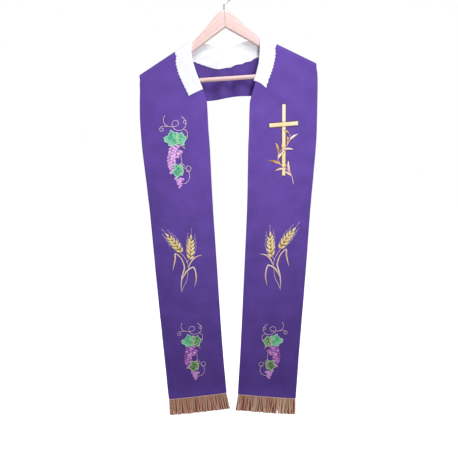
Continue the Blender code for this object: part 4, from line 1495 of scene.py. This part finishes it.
def addFringe(name, side, finish, node):
    draw = np.random.default_rng(31 + side)
    blocks = headingBlocks(side)
    for kind, before in fringe["layers"]:
        blocks += strandBlocks(side, strandKinds[kind], before, draw)
    made = makePiece(name, blocks, finish)
    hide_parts(node)
    return made


# The hanger


hanger = {
    "thick": 0.014,
    "rounding": 0.006,
    "barRadius": 0.0065,
    "barDrop": 0.2465,
    "barHalf": 0.218,
    "wire": 0.002,
    "arc": (-60.0, 205.0),
    "bendDrop": 0.047,
    "endDrop": 0.082,
    "rows": 120,
    "profile": [
        # out, top drop, bottom drop
        (0.0000, 0.0555, 0.1055),
        (0.0080, 0.0560, 0.1106),
        (0.0140, 0.0592, 0.1144),
        (0.0200, 0.0647, 0.1183),
        (0.0400, 0.0847, 0.1310),
        (0.0600, 0.1050, 0.1438),
        (0.0740, 0.1187, 0.1527),
        (0.0840, 0.1282, 0.1591),
        (0.0910, 0.1350, 0.1636),
        (0.0980, 0.1404, 0.1680),
        (0.1300, 0.1581, 0.1885),
        (0.1700, 0.1804, 0.2140),
        (0.1980, 0.1967, 0.2340),
        (0.2080, 0.2022, 0.2450),
        (0.2160, 0.2067, 0.2545),
        (0.2240, 0.2112, 0.2585),
        (0.2310, 0.2163, 0.2572),
        (0.2355, 0.2235, 0.2525),
        (0.2370, 0.2300, 0.2460),
    ],
}


def leaned(points):
    x, z = lean(points[..., 0], points[..., 2])
    return np.stack([x, points[..., 1], z], axis=-1)


def softened(values):
    # a running mean of five, twice, with both ends held
    values = values.copy()
    for _ in range(2):
        values[2:-2] = np.convolve(values, np.full(5, 0.2), "valid")
    return values


def armRings(side):
    # upright rounded sections whose top and bottom follow the profile
    profile = np.array(hanger["profile"])
    out = np.linspace(0, 1, hanger["rows"]) ** 0.9 * profile[-1, 0]
    top, bottom = (softened(np.interp(out, profile[:, 0], profile[:, i])) for i in (1, 2))
    half = hanger["thick"] / 2
    tall = (bottom - top) / 2
    slope = np.minimum(np.arctan(np.gradient(top, out)), math.pi / 4)
    rise = np.minimum(hanger["rounding"] / np.cos(slope), tall * 0.98)
    corner = np.radians(np.linspace(0, 90, 7))
    rings = []
    for start, ySign, zSign in ((270, -1, -1), (180, -1, 1), (90, 1, 1), (0, 1, -1)):
        angle = math.radians(start) - corner
        y = ySign * (half - hanger["rounding"]) + hanger["rounding"] * np.cos(angle)
        z = zSign * (tall - rise)[:, None] + rise[:, None] * np.sin(angle)
        z = z - ((top + bottom) / 2)[:, None]
        x = np.broadcast_to(side * np.maximum(out, 0.00005)[:, None], z.shape)
        rings.append(np.stack([x, np.broadcast_to(y, z.shape), z], axis=-1))
    return leaned(np.concatenate(rings, axis=1))


def withPoles(rings):
    # closes both ends with a ring that has shrunk to its centre
    ends = [np.broadcast_to(ring.mean(axis=0), ring.shape)[None] for ring in (rings[0], rings[-1])]
    return np.concatenate([ends[0], rings, ends[1]])


def upright(flat):
    # flat points with Y for up, stood up in the hanger's plane
    return np.stack([flat[:, 0], np.zeros(len(flat)), flat[:, 1]], axis=1)


def rodBlock(flat, radius, sides):
    # a round rod along a flat path in the hanger's plane
    left, _ = sidesOf(flat)
    away = np.tile([0.0, 1.0, 0.0], (len(flat), 1))
    rings = tubeRings(upright(flat), upright(left), away, radius, sides)
    return block(withPoles(leaned(rings)))


def hookPath():
    # straight out of the wood, an easy bend, then an arc round the rail
    radius = strip["hookRadius"] + hanger["wire"]
    start, stop = hanger["arc"]
    centre = np.array([0.0, -strip["hookRadius"]])
    join = radius * unit(start) + centre
    foot = np.array([0.0, -hanger["bendDrop"]])
    pull = 0.55 * np.linalg.norm(join - foot)
    t = np.linspace(0, 1, 20)[:, None]
    first, second = foot + [0.0, pull], join - unit(start + 90) * pull
    bend = (1 - t) ** 3 * foot + 3 * (1 - t) ** 2 * t * first + 3 * (1 - t) * t**2 * second + t**3 * join
    arc = radius * unit(np.linspace(start, stop, 70)[1:]) + centre
    shank = np.stack([np.zeros(6), np.linspace(-hanger["endDrop"], -hanger["bendDrop"], 7)[:-1]], axis=1)
    return np.vstack([shank, bend, arc])


def armBlock(side):
    # its poles take the UV of the sections beside them
    rings = armRings(side)
    uv = ringUv(rings)
    return block(withPoles(rings), uv=np.concatenate([uv[:1], uv, uv[-1:]]))


def barBlock():
    x = np.linspace(-hanger["barHalf"], hanger["barHalf"], 60)
    flat = np.stack([x, np.full(60, -hanger["barDrop"])], axis=1)
    return rodBlock(flat, np.full(60, hanger["barRadius"]), 28)


def hookBlock():
    flat = hookPath()
    distance = lengthAlong(flat)
    radius = hanger["wire"] * quarterRound((distance[-1] - distance) / hanger["wire"])
    return rodBlock(flat, radius, 16)


def addHanger(wood, barWood, steel):
    pieces = []
    for name, node, part, finish, slot in (
        ("hanger_arm_left_wood", "hanger_arm_left", armBlock(-1), wood, "beech"),
        ("hanger_arm_right_wood", "hanger_arm_right", armBlock(1), wood, "beech"),
        ("hanger_bar_wood", "hanger_bar", barBlock(), barWood, "beech"),
        ("hanger_hook_wire", "hanger_hook", hookBlock(), steel, "steel"),
    ):
        pieces.append(makePiece(name, [part], finish))
        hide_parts(node)
    return pieces


# Floor, world and lights


studio = {
    "floorDrop": 1.30,
    "floorSize": 12.0,
    "ambient": 0.29,
    "ambientColour": (0.88, 0.86, 1.0, 1.0),
    "backdrop": 1.0,
    "lights": [
        # name, place, target, width and height, watts, spread in degrees
        ("top", (0.10, -0.68, 0.77), (0.04, 0.0, -0.26), (0.55, 0.55), 6.2, 125),
        ("key", (0.36, -1.10, -0.38), (0.00, 0.0, -0.44), (0.40, 0.40), 2.5, 96),
        ("hem strip", (0.02, -0.60, -1.262), (0.02, 0.0, -1.250), (0.52, 0.03), 0.063, 18),
        ("back fill", (-0.5, 1.7, 0.2), (0.0, 0.0, -0.6), (1.2, 1.2), 24.0, 160),
    ],
}


def seenByCamera(tree):
    return addNode(tree, "ShaderNodeLightPath", {}).outputs["Is Camera Ray"]


def addWorld():
    # white where the camera looks, a dimmer bluish white as light
    world = bpy.data.worlds.new("studio")
    bpy.context.scene.world = world
    world.use_nodes = True
    tree = world.node_tree
    seen = seenByCamera(tree)
    colours = {0: seen, 1: studio["ambientColour"], 2: (1.0, 1.0, 1.0, 1.0)}
    colour = addNode(tree, "ShaderNodeMixRGB", colours).outputs[0]
    strength = rangeOf(tree, seen, studio["ambient"], studio["backdrop"])
    plug(tree.nodes["Background"], Color=colour, Strength=strength)


def addLight(name, place, target, size, watts, spread):
    made = addObject(name, bpy.data.lights.new(name, "AREA"))
    made.data.shape = "RECTANGLE"
    made.data.size, made.data.size_y = size
    made.data.energy = watts
    made.data.spread = math.radians(spread)
    aim = (Vector(target) - Vector(place)).to_track_quat("-Z", "Y")
    made.matrix_world = Matrix.Translation(place) @ aim.to_matrix().to_4x4()
    made.visible_camera = False


def addFloor():
    finish, tree, shader = newFinish("pale floor", Roughness=0.9, Specular_IOR_Level=0.1)
    shader.inputs["Emission Color"].default_value = (1.0, 1.0, 1.0, 1.0)
    grain = rangeOf(tree, noiseOf(tree, placeOf(tree), 3.0), 0.34, 0.38)
    plug(shader, Base_Color=grain, Emission_Strength=rangeOf(tree, seenByCamera(tree), 0.0, 1.0))
    half = studio["floorSize"] / 2
    mesh = bpy.data.meshes.new("floor")
    corners = [(-half, -half), (half, -half), (half, half), (-half, half)]
    mesh.from_pydata([(x, y, -studio["floorDrop"]) for x, y in corners], [], [(0, 1, 2, 3)])
    mesh.materials.append(finish)
    addObject("floor", mesh)


addCamera()
addWorld()
for light in studio["lights"]:
    addLight(*light)
addFloor()
bpy.context.scene.view_settings.view_transform = "Standard"
print("camera, lights and floor are up")

seam = seamPlace()
cloth = purpleCloth()
left = addStoleHalf("stole_left", -float(middleStation), seam, cloth, ("front_left", "back_left"))
right = addStoleHalf("stole_right", seam, float(middleStation), cloth, ("front_right", "back_right"))
print("both halves of the stole are cut and hung")

guard, guardEdge = addCollar(whiteCotton(), threadFinish("white edge thread", 0.6, 0.0006, 0.0002))
print("the collar guard is folded over the neck")

embroidery = threadFinish("rayon thread", 0.42, stitch["pitch"], stitch["height"])
sewn = {-1: [], 1: []}
for motif in motifs:
    sewn[motif[3]].append(addMotif(*motif, embroidery))
print("the embroidery is sewn on")

bullion = threadFinish("bullion cord", 0.46, 0.0007, 0.00010)
fringeLeft = addFringe("fringe_left_strands", -1, bullion, "fringe_left")
fringeRight = addFringe("fringe_right_strands", 1, bullion, "fringe_right")
print("the fringes are on")

hangerPieces = addHanger(beechWood("beech"), beechWood("rosy beech"), brightSteel())
print("the hanger is made")
